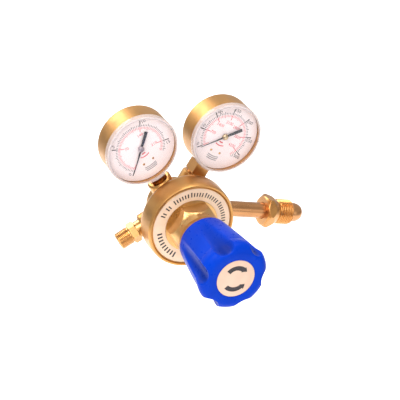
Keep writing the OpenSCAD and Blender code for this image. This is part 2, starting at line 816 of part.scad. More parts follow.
module gauge_case(lean) {
  color(brass) on_gauge(lean) difference() {
    rotate_extrude() difference() {
      union() {
        translate([0, -case_back + case_round]) square([case_r, case_lip_h + case_back - case_round]);
        translate([0, -case_back]) square([case_r - case_round, case_lip_h + case_back]);
        translate([case_r - case_round, -case_back + case_round]) circle(case_round);
      }
      translate([0, -case_back + case_wall]) square([inner_r, case_lip_h + case_back]);
    }
    rotate([90, 0, 0]) cylinder(h = case_r + 1, r = port_r - thread_gap);
  }
}

module gauge_lens(lean) {
  edge = 0.6;
  color([0.95, 0.95, 1, 0.3]) on_gauge(lean) turned([
    [0, lens_front_h - lens_t], [case_r + 0.05, lens_front_h - lens_t], [case_r + 0.05, skirt_h],
    [lens_r, skirt_h], [lens_r, lens_front_h - edge], [lens_r - edge, lens_front_h], [0, lens_front_h]
  ]);
}

module gauge_dial(lean) {
  color([0.99, 0.94, 0.94]) on_gauge(lean) translate([0, 0, dial_h - dial_t]) difference() {
    cylinder(h = dial_t, r = dial_r);
    translate([0, 0, -1]) cylinder(h = dial_t + 2, r = 1.6);
    for (side = [-1, 1])
      translate([side * dial_screw_half, -dial_screw_drop, -1]) cylinder(h = dial_t + 2, r = 0.7);
  }
}

module dial_screws(lean) {
  color(bright_brass) on_gauge(lean) for (side = [-1, 1])
    translate([side * dial_screw_half, -dial_screw_drop, 0]) turned([
      [0, dial_h - dial_t - 1.2], [0.6, dial_h - dial_t - 1.2], [0.6, dial_h],
      [1, dial_h], [1, dial_h + 0.25], [0.6, dial_h + 0.5], [0, dial_h + 0.5]
    ]);
}

module gauge_needle(lean) {
  low_h = dial_h + 1.4;
  thick = 0.5;
  cap_r = 2.7;
  color([0.12, 0.12, 0.13]) on_gauge(lean) rotate([0, 0, -needle_rest]) {
    translate([0, 0, low_h]) linear_extrude(thick) polygon([
      [-0.2, needle_tip], [0.2, needle_tip], [0.8, 0], [1.0, -cap_r], [1.3, -needle_tail],
      [-1.3, -needle_tail], [-1.0, -cap_r], [-0.8, 0]
    ]);
    turned([
      [0, frame_back_h], [0.7, frame_back_h], [0.7, sector_h - 0.4],
      [pinion_r, sector_h - 0.4], [pinion_r, sector_h + sector_t + 0.4], [0.7, sector_h + sector_t + 0.4],
      [0.7, low_h - 0.4], [cap_r, low_h - 0.4], [cap_r, low_h + 1.4],
      [cap_r - 0.7, low_h + 2.1], [0, low_h + 2.1]
    ]);
  }
}

module gauge_socket(lean) {
  root_out = boss_out - port_depth + 0.5;
  thread_r = port_r - thread_gap;
  block_top = gauge_out + socket_top;
  color(bright_brass) on_port(lean) difference() {
    union() {
      translate([0, 0, root_out]) cylinder(h = square_top_out - root_out, r = thread_r);
      translate([-square_flats / 2, -square_flats / 2, square_low_out])
        cube([square_flats, square_flats, square_top_out - square_low_out]);
      translate([0, 0, boss_out]) cylinder(h = square_low_out - boss_out, r = square_flats / 2 - 0.2);
      translate([0, 0, square_top_out - 1])
        cylinder(h = block_low_out - square_top_out + 2, r = thread_r - free_gap);
      translate([-block_half_d, -block_half_w, block_low_out])
        cube([2 * block_half_d, 2 * block_half_w, block_top - block_low_out]);
    }
    translate([0, 0, root_out - 1]) cylinder(h = block_top - root_out - 3, r = 1.6);
  }
}

// A flattened tube bent round the movement, with a flat tip under the link's eye
module pressure_tube(lean) {
  color(copper_brass) on_gauge(lean) difference() {
    union() {
      rotate([0, 0, tip_angle]) rotate_extrude(angle = bourdon_sweep)
      translate([bourdon_r, 0]) {
        square([2 * bourdon_half_t, 2 * (bourdon_half_d - bourdon_half_t)], center = true);
        for (side = [-1, 1])
          translate([0, side * (bourdon_half_d - bourdon_half_t)]) circle(bourdon_half_t, $fn = 24);
      }
      rotate([0, 0, tip_angle]) translate([bourdon_r - 1.9, -5, -bourdon_half_d + 1])
        cube([3.8, 6, link_h - 0.3 + bourdon_half_d - 1]);
    }
    translate([-block_half_w, -case_r, -block_half_d])
      cube([2 * block_half_w, case_r + socket_top, 2 * block_half_d]);
  }
}

module movement_frame(lean) {
  top = 5;
  color(bright_brass) on_gauge(lean) difference() {
    union() {
      for (plate_h = [frame_back_h, frame_front_h])
        translate([-frame_half_w, frame_low, plate_h]) cube([2 * frame_half_w, top - frame_low, frame_t]);
      translate([-frame_half_w, frame_low, frame_back_h])
        cube([2 * frame_half_w, 1.5, frame_front_h - frame_back_h + frame_t]);
      for (side = [-1, 1])
        translate([side * dial_screw_half, -dial_screw_drop, frame_front_h])
          cylinder(h = dial_h - dial_t - frame_front_h, r = 1.8);
      for (side = [-1, 1])
        translate([side * (frame_half_w - 1.6), top - 1.8, frame_back_h])
          cylinder(h = frame_front_h - frame_back_h, r = 1.2);
    }
    for (pivot_y = [0, -pivot_drop])
      translate([0, pivot_y, frame_back_h - 1])
        cylinder(h = frame_front_h - frame_back_h + frame_t + 2, r = 0.7 + run_gap);
    for (side = [-1, 1])
      translate([side * dial_screw_half, -dial_screw_drop, frame_front_h + frame_t])
        cylinder(h = dial_h, r = 0.6 + run_gap);
  }
}

// The toothed sector turns about its own pivot below the arbor and drives the pinion
module sector(lean) {
  half_angle = 27;
  rest_angle = needle_sweep / sector_ratio / 2;
  color(bright_brass) on_gauge(lean) translate([0, -pivot_drop, 0]) {
    translate([0, 0, sector_h]) linear_extrude(sector_t) {
      intersection() {
        circle(sector_r);
        polygon([
          [0, 0],
          for (a = [-half_angle:9:half_angle]) 12 * [sin(a + rest_angle), cos(a + rest_angle)]
        ]);
      }
      circle(2);
      rotate(-tail_angle) translate([-1.1, 0]) square([2.2, sector_tail]);
      rotate(-tail_angle) translate([0, sector_tail]) circle(1.1);
    }
    translate([0, 0, frame_back_h]) cylinder(h = frame_front_h + frame_t - frame_back_h, r = 0.7);
    rotate(-tail_angle) translate([0, sector_tail, sector_h]) cylinder(h = link_h + link_t + 0.1 - sector_h, r = 0.5);
  }
}

// The link carries the tube tip's movement to the sector's tail
module link(lean) {
  run = tip_eye - link_pin;
  color(bright_brass) on_gauge(lean) translate([link_pin[0], link_pin[1], link_h])
    rotate([0, 0, atan2(run[1], run[0])]) linear_extrude(link_t) difference() {
      union() {
        translate([0, -0.8]) square([norm(run), 1.6]);
        circle(1.1);
        translate([norm(run), 0]) circle(1.1);
      }
      circle(0.5 + run_gap);
      translate([norm(run), 0]) circle(0.5 + run_gap);
    }
}

body();
bonnet();
ring_label();
diaphragm();
slip_washer();
diaphragm_plate();
diaphragm_nut();
main_spring();
spring_button();
adjusting_screw();
knob();
knob_nut();
knob_label();
seat_nozzle();
poppet();
poppet_spring();
poppet_guide();
inlet_nipple();
inlet_nut();
inlet_filter();
outlet_adapter();
gauge_case(-gauge_lean);  // left_gauge_case
gauge_lens(-gauge_lean);  // left_gauge_lens
gauge_dial(-gauge_lean);  // left_gauge_dial
gauge_needle(-gauge_lean);  // left_gauge_needle
dial_screws(-gauge_lean);  // left_dial_screws
gauge_socket(-gauge_lean);  // left_gauge_socket
pressure_tube(-gauge_lean);  // left_pressure_tube
movement_frame(-gauge_lean);  // left_movement_frame
sector(-gauge_lean);  // left_sector
link(-gauge_lean);  // left_link
gauge_case(gauge_lean);  // right_gauge_case
gauge_lens(gauge_lean);  // right_gauge_lens
gauge_dial(gauge_lean);  // right_gauge_dial
gauge_needle(gauge_lean);  // right_gauge_needle
dial_screws(gauge_lean);  // right_dial_screws
gauge_socket(gauge_lean);  // right_gauge_socket
pressure_tube(gauge_lean);  // right_pressure_tube
movement_frame(gauge_lean);  // right_movement_frame
sector(gauge_lean);  // right_sector
link(gauge_lean);  // right_link
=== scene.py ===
# %% [markdown]
# # An oxygen regulator in brass and blue plastic
#
# The regulator hangs on a cylinder by its inlet, at the right. Two pressure gauges
# stand on top, a fluted blue knob faces the viewer, and a hose screws on at the left.
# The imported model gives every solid, its body and its joints. This script keeps that
# frame and dresses it: better surfaces where the light shows them, and a finish on
# every piece. Profiles are written in millimetres, and the scene is in metres.

# %% Load the frame
import json
from math import atan2, cos, pi, radians, sin, sqrt

import bmesh
import bpy
import numpy as np
from mathutils import Matrix


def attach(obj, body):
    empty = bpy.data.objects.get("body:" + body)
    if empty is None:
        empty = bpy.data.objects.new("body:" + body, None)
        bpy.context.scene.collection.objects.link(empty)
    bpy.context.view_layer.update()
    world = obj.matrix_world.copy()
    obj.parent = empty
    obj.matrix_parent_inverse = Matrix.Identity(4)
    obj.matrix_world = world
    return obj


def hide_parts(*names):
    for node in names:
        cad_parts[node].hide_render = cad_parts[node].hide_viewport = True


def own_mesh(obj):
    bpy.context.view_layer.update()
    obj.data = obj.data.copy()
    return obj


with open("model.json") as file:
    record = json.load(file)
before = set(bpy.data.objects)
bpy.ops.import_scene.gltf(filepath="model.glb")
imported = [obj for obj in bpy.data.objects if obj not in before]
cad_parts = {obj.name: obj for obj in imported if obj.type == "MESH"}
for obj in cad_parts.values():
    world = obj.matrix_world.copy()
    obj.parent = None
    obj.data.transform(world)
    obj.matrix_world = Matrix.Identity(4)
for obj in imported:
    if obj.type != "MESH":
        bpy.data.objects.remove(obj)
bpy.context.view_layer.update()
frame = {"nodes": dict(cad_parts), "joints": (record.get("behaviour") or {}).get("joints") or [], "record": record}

# %% [markdown]
# ## Places
#
# Nearly every piece is turned on a lathe, so it is easiest to describe in the frame of
# its own axis: x and y across, z along. There are three kinds of axis here: the main
# one, which runs forward through body and knob, one for each port, and one for each
# gauge. Their places come from the joints and mounts of the record, so they can't
# drift away from the solids.

# %% The axes of the pieces
joints = {joint["name"]: joint for joint in frame["joints"]}
mounts = {mount["name"]: mount for mount in frame["record"]["mounts"]}
MAIN_POINT = np.array(joints["knob_turn"]["pos_m"])
FORWARD = np.array([0.0, -1.0, 0.0])


def axis_frame(origin, x, y, z):
    """An origin in metres and three unit axes as the rows of a matrix."""
    return np.array(origin, float), np.array([x, y, z], float)


def port_frame(direction):
    """The frame of a port: z runs out along it from the main axis, x runs backward."""
    out = np.array(direction, float)
    back = -FORWARD
    return axis_frame(MAIN_POINT, back, np.cross(out, back), out)


def gauge_frame(centre):
    """The frame of a gauge: x to the dial's right, y to its top, z forward."""
    up = np.array(centre, float) - MAIN_POINT
    up /= np.linalg.norm(up)
    return axis_frame(centre, np.cross(up, FORWARD), up, FORWARD)


def placed(points, where):
    """Points in millimetres of an axis frame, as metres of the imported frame."""
    origin, axes = where
    return origin + 0.001 * np.asarray(points, float) @ axes


def measured(mesh, where):
    """The points of a mesh in millimetres of an axis frame, as three rows x, y and z."""
    points = np.empty(len(mesh.vertices) * 3)
    mesh.vertices.foreach_get("co", points)
    return (1000 * (points.reshape(-1, 3) - where[0]) @ where[1].T).T


main = axis_frame(MAIN_POINT, (1, 0, 0), (0, 0, 1), FORWARD)
inlet = port_frame(mounts["inlet"]["axis"])
outlet = port_frame(mounts["outlet"]["axis"])
gauges = {side: gauge_frame(joints[f"{side}_needle_turn"]["pos_m"])
          for side in ("left", "right")}
print("main axis at", MAIN_POINT.round(4))
print("gauges at", [tuple(where[0].round(4)) for where in gauges.values()])

# %% [markdown]
# ## The camera, the floor and the light
#
# The photograph looks down on the regulator from the upper left with a long lens.
# The camera was solved from the circles of the lenses, the labels and the knob, so it
# is written as a position and three axes. Brass shows what it reflects, so the room
# matters more than the lamps. The floor carries a painted pool of light: it is white
# and glows where the camera looks, and falls off softly to a grey that keeps the brass
# rich. The room is a little brighter behind and to the left, and soft lights stand round
# the regulator as in a product studio.

# %% Camera
camera = bpy.data.objects.new("camera", bpy.data.cameras.new("camera"))
bpy.context.scene.collection.objects.link(camera)
bpy.context.scene.camera = camera
camera.data.sensor_width = 36
camera.data.lens = 145.14
camera.data.clip_end = 20
camera.matrix_world = Matrix((
    (0.91550, 0.14590, -0.37493, -0.62123),
    (-0.39827, 0.46060, -0.79324, -1.13967),
    (0.05696, 0.87553, 0.47979, 0.71507),
    (0, 0, 0, 1)))
print("camera:", [round(c, 3) for c in camera.location], "lens", camera.data.lens)


# %% A short way to write shader nodes
def add_node(tree, kind, inputs, **settings):
    """A node with its settings. Each input is linked if it is a socket, and set if not."""
    node = tree.nodes.new(kind)
    for name, value in settings.items():
        setattr(node, name, value)
    for name, value in inputs.items():
        if isinstance(value, bpy.types.NodeSocket):
            tree.links.new(value, node.inputs[name])
        else:
            node.inputs[name].default_value = value
    return node


print("node tool ready")

# %% Floor and room
FLOOR_HALF, FLOOR_DROP = 4.0, 0.11
LIGHT_POOL_CENTRE, LIGHT_POOL_TURN = (-0.02, 0.12, 0), radians(64.7)
LONG_FADE, SHORT_FADE = (0.76, 1.25), (0.28, 0.50)
FLOOR_GREY, FLOOR_WHITE, FLOOR_GLOW = 0.27, 0.93, 0.4
ROOM_LEVEL, ROOM_SLOPE = 0.70, (-0.08, 0.10, 0.0)


def floor_sheet():
    """A square sheet under the object: x and y from -half to half, z at one height."""
    x, y = np.meshgrid([-FLOOR_HALF, FLOOR_HALF], [-FLOOR_HALF, FLOOR_HALF])
    corners = np.stack([x, y, np.full_like(x, -FLOOR_DROP)], -1).reshape(-1, 3)
    mesh = bpy.data.meshes.new("floor")
    mesh.from_pydata(corners.tolist(), [], [(0, 1, 3, 2)])
    return mesh


def fade(tree, value, full, gone):
    """1 up to a distance, then a smooth fall to 0 at a larger one."""
    away = add_node(tree, "ShaderNodeMath", {0: value}, operation="ABSOLUTE")
    return add_node(tree, "ShaderNodeMapRange", {
        "Value": away.outputs[0], "From Min": full, "From Max": gone,
        "To Min": 1.0, "To Max": 0.0}, interpolation_type="SMOOTHSTEP").outputs["Result"]


floor = bpy.data.objects.new("floor", floor_sheet())
bpy.context.scene.collection.objects.link(floor)
floor_paint = bpy.data.materials.new("floor_paint")
floor_paint.use_nodes = True
tree = floor_paint.node_tree
place = add_node(tree, "ShaderNodeTexCoord", {})
laid = add_node(tree, "ShaderNodeMapping", {
    "Vector": place.outputs["Object"], "Location": LIGHT_POOL_CENTRE,
    "Rotation": (0, 0, LIGHT_POOL_TURN)}, vector_type="TEXTURE")
across = add_node(tree, "ShaderNodeSeparateXYZ", {"Vector": laid.outputs["Vector"]})
# A painted pool of light: white and glowing round one spot, fading to grey.
white = add_node(tree, "ShaderNodeMath", {
    0: fade(tree, across.outputs["X"], *LONG_FADE),
    1: fade(tree, across.outputs["Y"], *SHORT_FADE)}, operation="MULTIPLY").outputs[0]
tone = add_node(tree, "ShaderNodeMapRange", {
    "Value": white, "To Min": FLOOR_GREY, "To Max": FLOOR_WHITE})
glow = add_node(tree, "ShaderNodeMath", {0: white, 1: FLOOR_GLOW}, operation="MULTIPLY")
paint = tree.nodes["Principled BSDF"]
tree.links.new(tone.outputs["Result"], paint.inputs["Base Color"])
tree.links.new(glow.outputs[0], paint.inputs["Emission Strength"])
paint.inputs["Emission Color"].default_value = (1, 1, 1, 1)
paint.inputs["Roughness"].default_value = 0.9
floor.data.materials.append(floor_paint)

room = bpy.data.worlds.new("room")
bpy.context.scene.world = room
room.use_nodes = True
tree = room.node_tree
way = add_node(tree, "ShaderNodeTexCoord", {})
slope = add_node(tree, "ShaderNodeVectorMath", {
    0: way.outputs["Generated"], 1: ROOM_SLOPE}, operation="DOT_PRODUCT")
level = add_node(tree, "ShaderNodeMath", {0: slope.outputs["Value"], 1: ROOM_LEVEL})
background = tree.nodes["Background"]
tree.links.new(level.outputs["Value"], background.inputs["Strength"])
background.inputs["Color"].default_value = (1.0, 0.99, 0.98, 1)
bpy.context.scene.view_settings.view_transform = "Standard"
print("floor and room ready")

# %% Soft lights
# Each light has a position, the side of its square in metres, and a power in watts.
LIGHTS = {
    "key_light": ((-0.75, -0.45, 0.95), 0.7, 10),
    "fill_light": ((-0.35, -1.25, 0.52), 0.5, 3),
    "top_light": ((0.08, -0.05, 1.15), 0.55, 6),
    "back_light": ((-0.50, 0.95, 0.74), 0.6, 6.5),
    "side_light": ((0.55, -1.05, 0.18), 0.6, 1.2)}


def softbox(name, position, size, power):
    """A square area light that faces the middle of the regulator."""
    light = bpy.data.lights.new(name, "AREA")
    light.shape = "SQUARE"
    light.size = size
    light.energy = power
    lamp = bpy.data.objects.new(name, light)
    bpy.context.scene.collection.objects.link(lamp)
    z = np.array(position, float) - MAIN_POINT
    z /= np.linalg.norm(z)
    x = np.cross((0, 0, 1), z)
    x /= np.linalg.norm(x)
    y = np.cross(z, x)
    rows = [[x[i], y[i], z[i], position[i]] for i in range(3)]
    lamp.matrix_world = Matrix(rows + [[0, 0, 0, 1]])


for name, (position, size, power) in LIGHTS.items():
    softbox(name, position, size, power)

# %% [markdown]
# ## Finishes
#
# Each finish is one Principled shader with a few textures. Noise in object coordinates
# gives the metal its grain, because it is the same from every side and needs no UV map.
# Stretching the noise along one axis turns grain into the fine rings that a lathe tool
# leaves. What is the same all over is set on the shader's own sockets.

# %% A start for every finish
finishes = {}


def finish(name, colour, metal, roughness, **more):
    """A new Principled material with its even values set directly."""
    made = bpy.data.materials.new(name)
    made.use_nodes = True
    shader = made.node_tree.nodes["Principled BSDF"]
    shader.inputs["Base Color"].default_value = (*colour, 1)
    shader.inputs["Metallic"].default_value = metal
    shader.inputs["Roughness"].default_value = roughness
    for socket, value in more.items():
        shader.inputs[socket.replace("_", " ")].default_value = value
    made.diffuse_color = (*colour, 1)
    finishes[name] = made
    return made


def shader_of(made):
    """The node tree of a finish and its Principled shader."""
    return made.node_tree, made.node_tree.nodes["Principled BSDF"]


def noise(made, scale, stretch=(1, 1, 1), turn=(0, 0, 0), detail=3.0):
    """Noise in object coordinates, stretched and turned by a Mapping node."""
    tree = made.node_tree
    place = add_node(tree, "ShaderNodeTexCoord", {})
    laid = add_node(tree, "ShaderNodeMapping", {
        "Vector": place.outputs["Object"], "Scale": stretch, "Rotation": turn})
    return add_node(tree, "ShaderNodeTexNoise", {
        "Vector": laid.outputs["Vector"], "Scale": scale, "Detail": detail}).outputs["Fac"]


def spread(made, factor, low, high, low_at=0.35, high_at=0.65):
    """Carries a value that runs from low_at to high_at over to low and high."""
    return add_node(made.node_tree, "ShaderNodeMapRange", {
        "Value": factor, "From Min": low_at, "From Max": high_at,
        "To Min": low, "To Max": high}).outputs["Result"]


def tint(made, factor, dark, light):
    """Colour that wanders between two shades with a noise."""
    tree, shader = shader_of(made)
    mixed = add_node(tree, "ShaderNodeMix", {
        "A": (*dark, 1), "B": (*light, 1), "Factor": spread(made, factor, 0, 1)},
        data_type="RGBA")
    tree.links.new(mixed.outputs["Result"], shader.inputs["Base Color"])


def painted_shade(made, attribute, start, full, shade):
    """Paints shade: darkens the colour where a value stored on the mesh grows from start to full."""
    tree, shader = shader_of(made)
    colour = shader.inputs["Base Color"]
    value = add_node(tree, "ShaderNodeAttribute", {}, attribute_name=attribute)
    dim = add_node(tree, "ShaderNodeVectorMath", {
        0: colour.links[0].from_socket,
        "Scale": spread(made, value.outputs["Fac"], 1.0, shade, start, full)},
        operation="SCALE")
    tree.links.new(dim.outputs["Vector"], colour)


def uneven(made, factor, low, high):
    """Roughness that wanders between two values with a noise."""
    tree, shader = shader_of(made)
    tree.links.new(spread(made, factor, low, high), shader.inputs["Roughness"])


def relief(made, factor, depth_mm, strength):
    """Bump from a noise, its depth in millimetres."""
    tree, shader = shader_of(made)
    bump = add_node(tree, "ShaderNodeBump", {
        "Strength": strength, "Distance": depth_mm / 1000, "Height": factor})
    tree.links.new(bump.outputs["Normal"], shader.inputs["Normal"])


print("finish tools ready")

# %% [markdown]
# ## Brass, four ways
#
# The body and bonnet are forged, then machined and tumbled: a warm satin with a fine
# grain. The gauge cases are drawn sheet with a smooth lacquer. The nuts are turned from
# bright bar, with rings round their own axis, so the noise is squeezed along that axis.
# The inlet tube is a redder alloy. They share one recipe with the metals inside:
# wandering colour for tarnish, wandering roughness for handling, and a shallow relief.

# %% Brass finishes
TARNISH, HANDLING = 38, 90
SMOOTHER, ROUGHER = 0.05, 0.07
FINE_GRAIN, SOFT_GRAIN, RING_GRAIN = 1400, 1200, 60
RINGS, CASE_RINGS, TURNED_RINGS = (40, 1, 1), (1, 40, 1), (1, 30, 1)


def brass(name, dark, light, rough, grain, stretch=(1, 1, 1), turn=(0, 0, 0),
          depth_mm=0.02, strength=0.25, coat=0.0):
    """Metal whose tarnish, roughness and grain each follow a noise of their own scale."""
    made = finish(name, light, 1.0, rough, Coat_Weight=coat, Coat_Roughness=rough)
    tint(made, noise(made, TARNISH, detail=4), dark, light)
    uneven(made, noise(made, HANDLING), rough - SMOOTHER, rough + ROUGHER)
    relief(made, noise(made, grain, stretch, turn, 2), depth_mm, strength)


def axis_turn(where):
    """The Mapping turn, in the plane of x and z, that lays a port's axis along x."""
    out = where[1][2]
    return 0, atan2(out[2], out[0]), 0


brass("forged_brass", (0.50, 0.248, 0.064), (0.60, 0.308, 0.086), 0.37, FINE_GRAIN, coat=0.45)
brass("bonnet_brass", (0.56, 0.305, 0.088), (0.68, 0.390, 0.130), 0.31, FINE_GRAIN, coat=1.0)
brass("case_brass", (0.50, 0.248, 0.062), (0.56, 0.284, 0.080), 0.44, RING_GRAIN, CASE_RINGS,
      depth_mm=0.01, strength=0.15, coat=0.45)
brass("inlet_nut_brass", (0.50, 0.222, 0.052), (0.60, 0.285, 0.074), 0.28, RING_GRAIN, RINGS,
      axis_turn(inlet), 0.01, 0.2, 0.6)
brass("outlet_brass", (0.54, 0.285, 0.085), (0.65, 0.365, 0.130), 0.27, RING_GRAIN, RINGS,
      axis_turn(outlet), 0.01, 0.2, 0.6)
brass("nipple_brass", (0.46, 0.210, 0.078), (0.56, 0.275, 0.108), 0.28, RING_GRAIN, RINGS,
      axis_turn(inlet), 0.01, 0.2, 0.4)
brass("socket_brass", (0.46, 0.210, 0.055), (0.56, 0.272, 0.080), 0.33, 900, depth_mm=0.01,
      coat=0.4)
for name in ("movement_brass", "valve_brass"):
    brass(name, (0.58, 0.36, 0.13), (0.68, 0.45, 0.19), 0.25, SOFT_GRAIN)
brass("tube_bronze", (0.42, 0.20, 0.09), (0.52, 0.27, 0.13), 0.33, 1000)
brass("sintered_bronze", (0.25, 0.13, 0.06), (0.42, 0.23, 0.11), 0.60, 3000,
      depth_mm=0.15, strength=0.9)
brass("machined_steel", (0.42, 0.42, 0.44), (0.56, 0.56, 0.58), 0.30, 80, TURNED_RINGS)
brass("spring_steel", (0.20, 0.20, 0.22), (0.36, 0.36, 0.38), 0.35, 1500)
brass("rivet_brass", (0.50, 0.27, 0.10), (0.60, 0.36, 0.15), 0.25, 1500)
print("metals:", len(finishes))

# %% [markdown]
# ## Plastic, film, enamel and print
#
# The knob is a satin moulding in a saturated blue, so its shine is kept low, and a very
# faint unevenness breaks its reflections. Shade is painted down in its flutes: the colour
# darkens with their depth. The labels are cream film; the knob's disc is the same film,
# painted darker as shade. The dials are white enamel with a breath of pink, and the print
# on them is ink, black or red. The lens is clear in the middle, and milky at its rim,
# where light runs through the thick edge, with a thin dark ring of painted shade near the
# dial's edge: an attribute on the mesh says how far out a point is.

# %% Other finishes
RIM_FROM, RIM_TO = 29.0, 33.4
# The dark stop at 30.45 mm is painted shade near the dial's edge; the milky stops outside it stand for light
# running through the thick rim.
RIM_MILK_AND_SHADE_STOPS = [
    (29.0, (0.95, 0.92, 0.92, 0.02)), (30.1, (0.95, 0.92, 0.92, 0.03)),
    (30.45, (0.36, 0.30, 0.29, 0.62)), (30.8, (0.86, 0.78, 0.77, 0.38)),
    (32.2, (0.84, 0.74, 0.72, 0.36)), (32.9, (0.66, 0.56, 0.53, 0.40))]


def film(name, colour, dark, light):
    """Label film, whose tone and surface wander very little."""
    made = finish(name, colour, 0.0, 0.45)
    tint(made, noise(made, 120), dark, light)
    relief(made, noise(made, 2500, detail=1), 0.005, 0.2)


def ink(name, dark, light):
    """Matt print with a little unevenness in its tone."""
    made = finish(name, light, 0.0, 0.6)
    tint(made, noise(made, 900), dark, light)


knob_blue = finish("knob_blue", (0.0, 0.038, 0.52), 0.0, 0.30, Specular_IOR_Level=0.06)
tint(knob_blue, noise(knob_blue, 45), (0.0, 0.034, 0.41), (0.0, 0.040, 0.465))
# Painted shade: the flutes darken with their depth, down to half the colour.
painted_shade(knob_blue, "hollow", 0.4, 4.8, 0.5)
uneven(knob_blue, noise(knob_blue, 260), 0.27, 0.35)
relief(knob_blue, noise(knob_blue, 140, detail=1), 0.02, 0.1)

film("label_film", (0.76, 0.56, 0.40), (0.73, 0.535, 0.385), (0.78, 0.58, 0.42))
# The knob's disc is the same cream film as the ring, painted darker as shade.
film("shaded_disc_film", (0.67, 0.46, 0.34), (0.645, 0.44, 0.325), (0.69, 0.475, 0.355))

dial_enamel = finish("dial_enamel", (0.88, 0.765, 0.76), 0.0, 0.5)
tint(dial_enamel, noise(dial_enamel, 70), (0.86, 0.745, 0.74), (0.90, 0.785, 0.78))
relief(dial_enamel, noise(dial_enamel, 1800), 0.004, 0.15)

ink("ink_black", (0.012, 0.012, 0.015), (0.035, 0.033, 0.040))
ink("ink_label", (0.014, 0.010, 0.012), (0.035, 0.026, 0.030))
ink("ink_grey", (0.28, 0.26, 0.27), (0.36, 0.34, 0.35))
ink("ink_red", (0.62, 0.05, 0.075), (0.74, 0.09, 0.11))

needle_black = finish("needle_black", (0.02, 0.02, 0.026), 0.0, 0.35, Coat_Weight=0.2)
relief(needle_black, noise(needle_black, 2500), 0.004, 0.2)
cap_lilac = finish("cap_lilac", (0.29, 0.24, 0.27), 0.4, 0.3)
tint(cap_lilac, noise(cap_lilac, 600), (0.25, 0.21, 0.24), (0.33, 0.27, 0.30))
brass("cap_brass", (0.44, 0.33, 0.20), (0.56, 0.44, 0.29), 0.30, 900)
diaphragm_rubber = finish("diaphragm_rubber", (0.02, 0.02, 0.02), 0.0, 0.7)
relief(diaphragm_rubber, noise(diaphragm_rubber, 3000), 0.05, 0.5)

lens_clear = finish("lens_clear", (0.9, 0.86, 0.85), 0.0, 0.06, IOR=1.45)
tree, shader = shader_of(lens_clear)
reach = add_node(tree, "ShaderNodeAttribute", {}, attribute_name="reach").outputs["Fac"]
rim = add_node(tree, "ShaderNodeValToRGB", {
    "Fac": spread(lens_clear, reach, 0, 1, RIM_FROM, RIM_TO)})
while len(rim.color_ramp.elements) < len(RIM_MILK_AND_SHADE_STOPS):
    rim.color_ramp.elements.new(0.5)
for element, (radius, colour) in zip(rim.color_ramp.elements, RIM_MILK_AND_SHADE_STOPS):
    element.position = (radius - RIM_FROM) / (RIM_TO - RIM_FROM)
    element.color = colour
tree.links.new(rim.outputs["Color"], shader.inputs["Base Color"])
tree.links.new(rim.outputs["Alpha"], shader.inputs["Alpha"])
print("finishes:", len(finishes))

# %% [markdown]
# ## Surfaces from grids
#
# A turned piece is a profile carried round its axis. Numpy works out the whole grid of
# points at once: rows follow the profile and columns go round. The last column joins the
# first, and points that fall together, as at a pole, are merged. A piece like the nut
# is the same grid with a radius that also depends on the angle.

# %% Grid, profile and piece
SIDES = 192
CORNER_POINTS, CORNER_SHARE = 4, 0.45


def surface(name, grid, loop=False):
    """A mesh from a grid of points. Columns wrap round, and loop joins last row to first."""
    index = np.arange(grid.shape[0] * grid.shape[1]).reshape(grid.shape[:2])
    low = index if loop else index[:-1]
    high = np.roll(index, -1, 0) if loop else index[1:]
    quads = np.stack([low, np.roll(low, -1, 1), np.roll(high, -1, 1), high], -1)
    mesh = bpy.data.meshes.new(name)
    mesh.from_pydata(grid.reshape(-1, 3).tolist(), [], quads.reshape(-1, 4).tolist())
    return joined(mesh)


def joined(mesh, smooth_to=32):
    """Merges points that fall together, turns faces outward, and shades up to an angle."""
    shape = bmesh.new()
    shape.from_mesh(mesh)
    bmesh.ops.remove_doubles(shape, verts=shape.verts, dist=1e-6)
    bmesh.ops.dissolve_degenerate(shape, edges=shape.edges, dist=1e-7)
    bmesh.ops.recalc_face_normals(shape, faces=shape.faces)
    shape.to_mesh(mesh)
    shape.free()
    mesh.shade_smooth()
    mesh.set_sharp_from_angle(angle=radians(smooth_to))
    return mesh


def piece(mesh, body, made, stands_for=()):
    """Puts a mesh in the scene: on its body, in its finish, in place of its solid."""
    shown = bpy.data.objects.new(mesh.name, mesh)
    bpy.context.scene.collection.objects.link(shown)
    mesh.materials.clear()
    mesh.materials.append(finishes[made])
    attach(shown, body)
    if stands_for:
        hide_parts(*stands_for)
    print(f"{mesh.name}: {len(mesh.polygons)} faces, {made}, rides on {body}")
    return shown


def rounded(profile, radius, closed=False):
    """A profile with each corner eased by the curve (1-t)^2 start + 2t(1-t) corner + t^2 end."""
    points = np.array(profile, float)
    made = []
    count = len(points)
    for i, corner in enumerate(points):
        if not closed and i in (0, count - 1):
            made.append(corner[None])
            continue
        before, after = points[i - 1] - corner, points[(i + 1) % count] - corner
        cut = min(radius, CORNER_SHARE * np.linalg.norm(before),
                  CORNER_SHARE * np.linalg.norm(after))
        start = corner + before / np.linalg.norm(before) * cut
        end = corner + after / np.linalg.norm(after) * cut
        t = np.linspace(0, 1, CORNER_POINTS)[:, None]
        made.append((1 - t) ** 2 * start + 2 * t * (1 - t) * corner + t ** 2 * end)
    return np.concatenate(made)


def turned(name, profile, where, radius=0.15, closed=False, sides=SIDES):
    """A profile of radius and height carried round z: x = r cos a, y = r sin a, z = h."""
    line = rounded(profile, radius, closed)
    r, h = line[:, :1], np.repeat(line[:, 1:], sides, 1)
    a = np.linspace(0, 2 * pi, sides, endpoint=False)
    return surface(name, placed(np.stack([r * np.cos(a), r * np.sin(a), h], -1), where), closed)


def band(inner, outer, low, high):
    """The section of a flat ring or disc, as four corners of radius and height."""
    return [(inner, low), (outer, low), (outer, high), (inner, high)]


def stored(mesh, name, values):
    """Stores one number for each point of a mesh, as an attribute for its finish."""
    store = mesh.attributes.new(name, "FLOAT", "POINT")
    store.data.foreach_set("value", values.astype(np.float32))
    return mesh


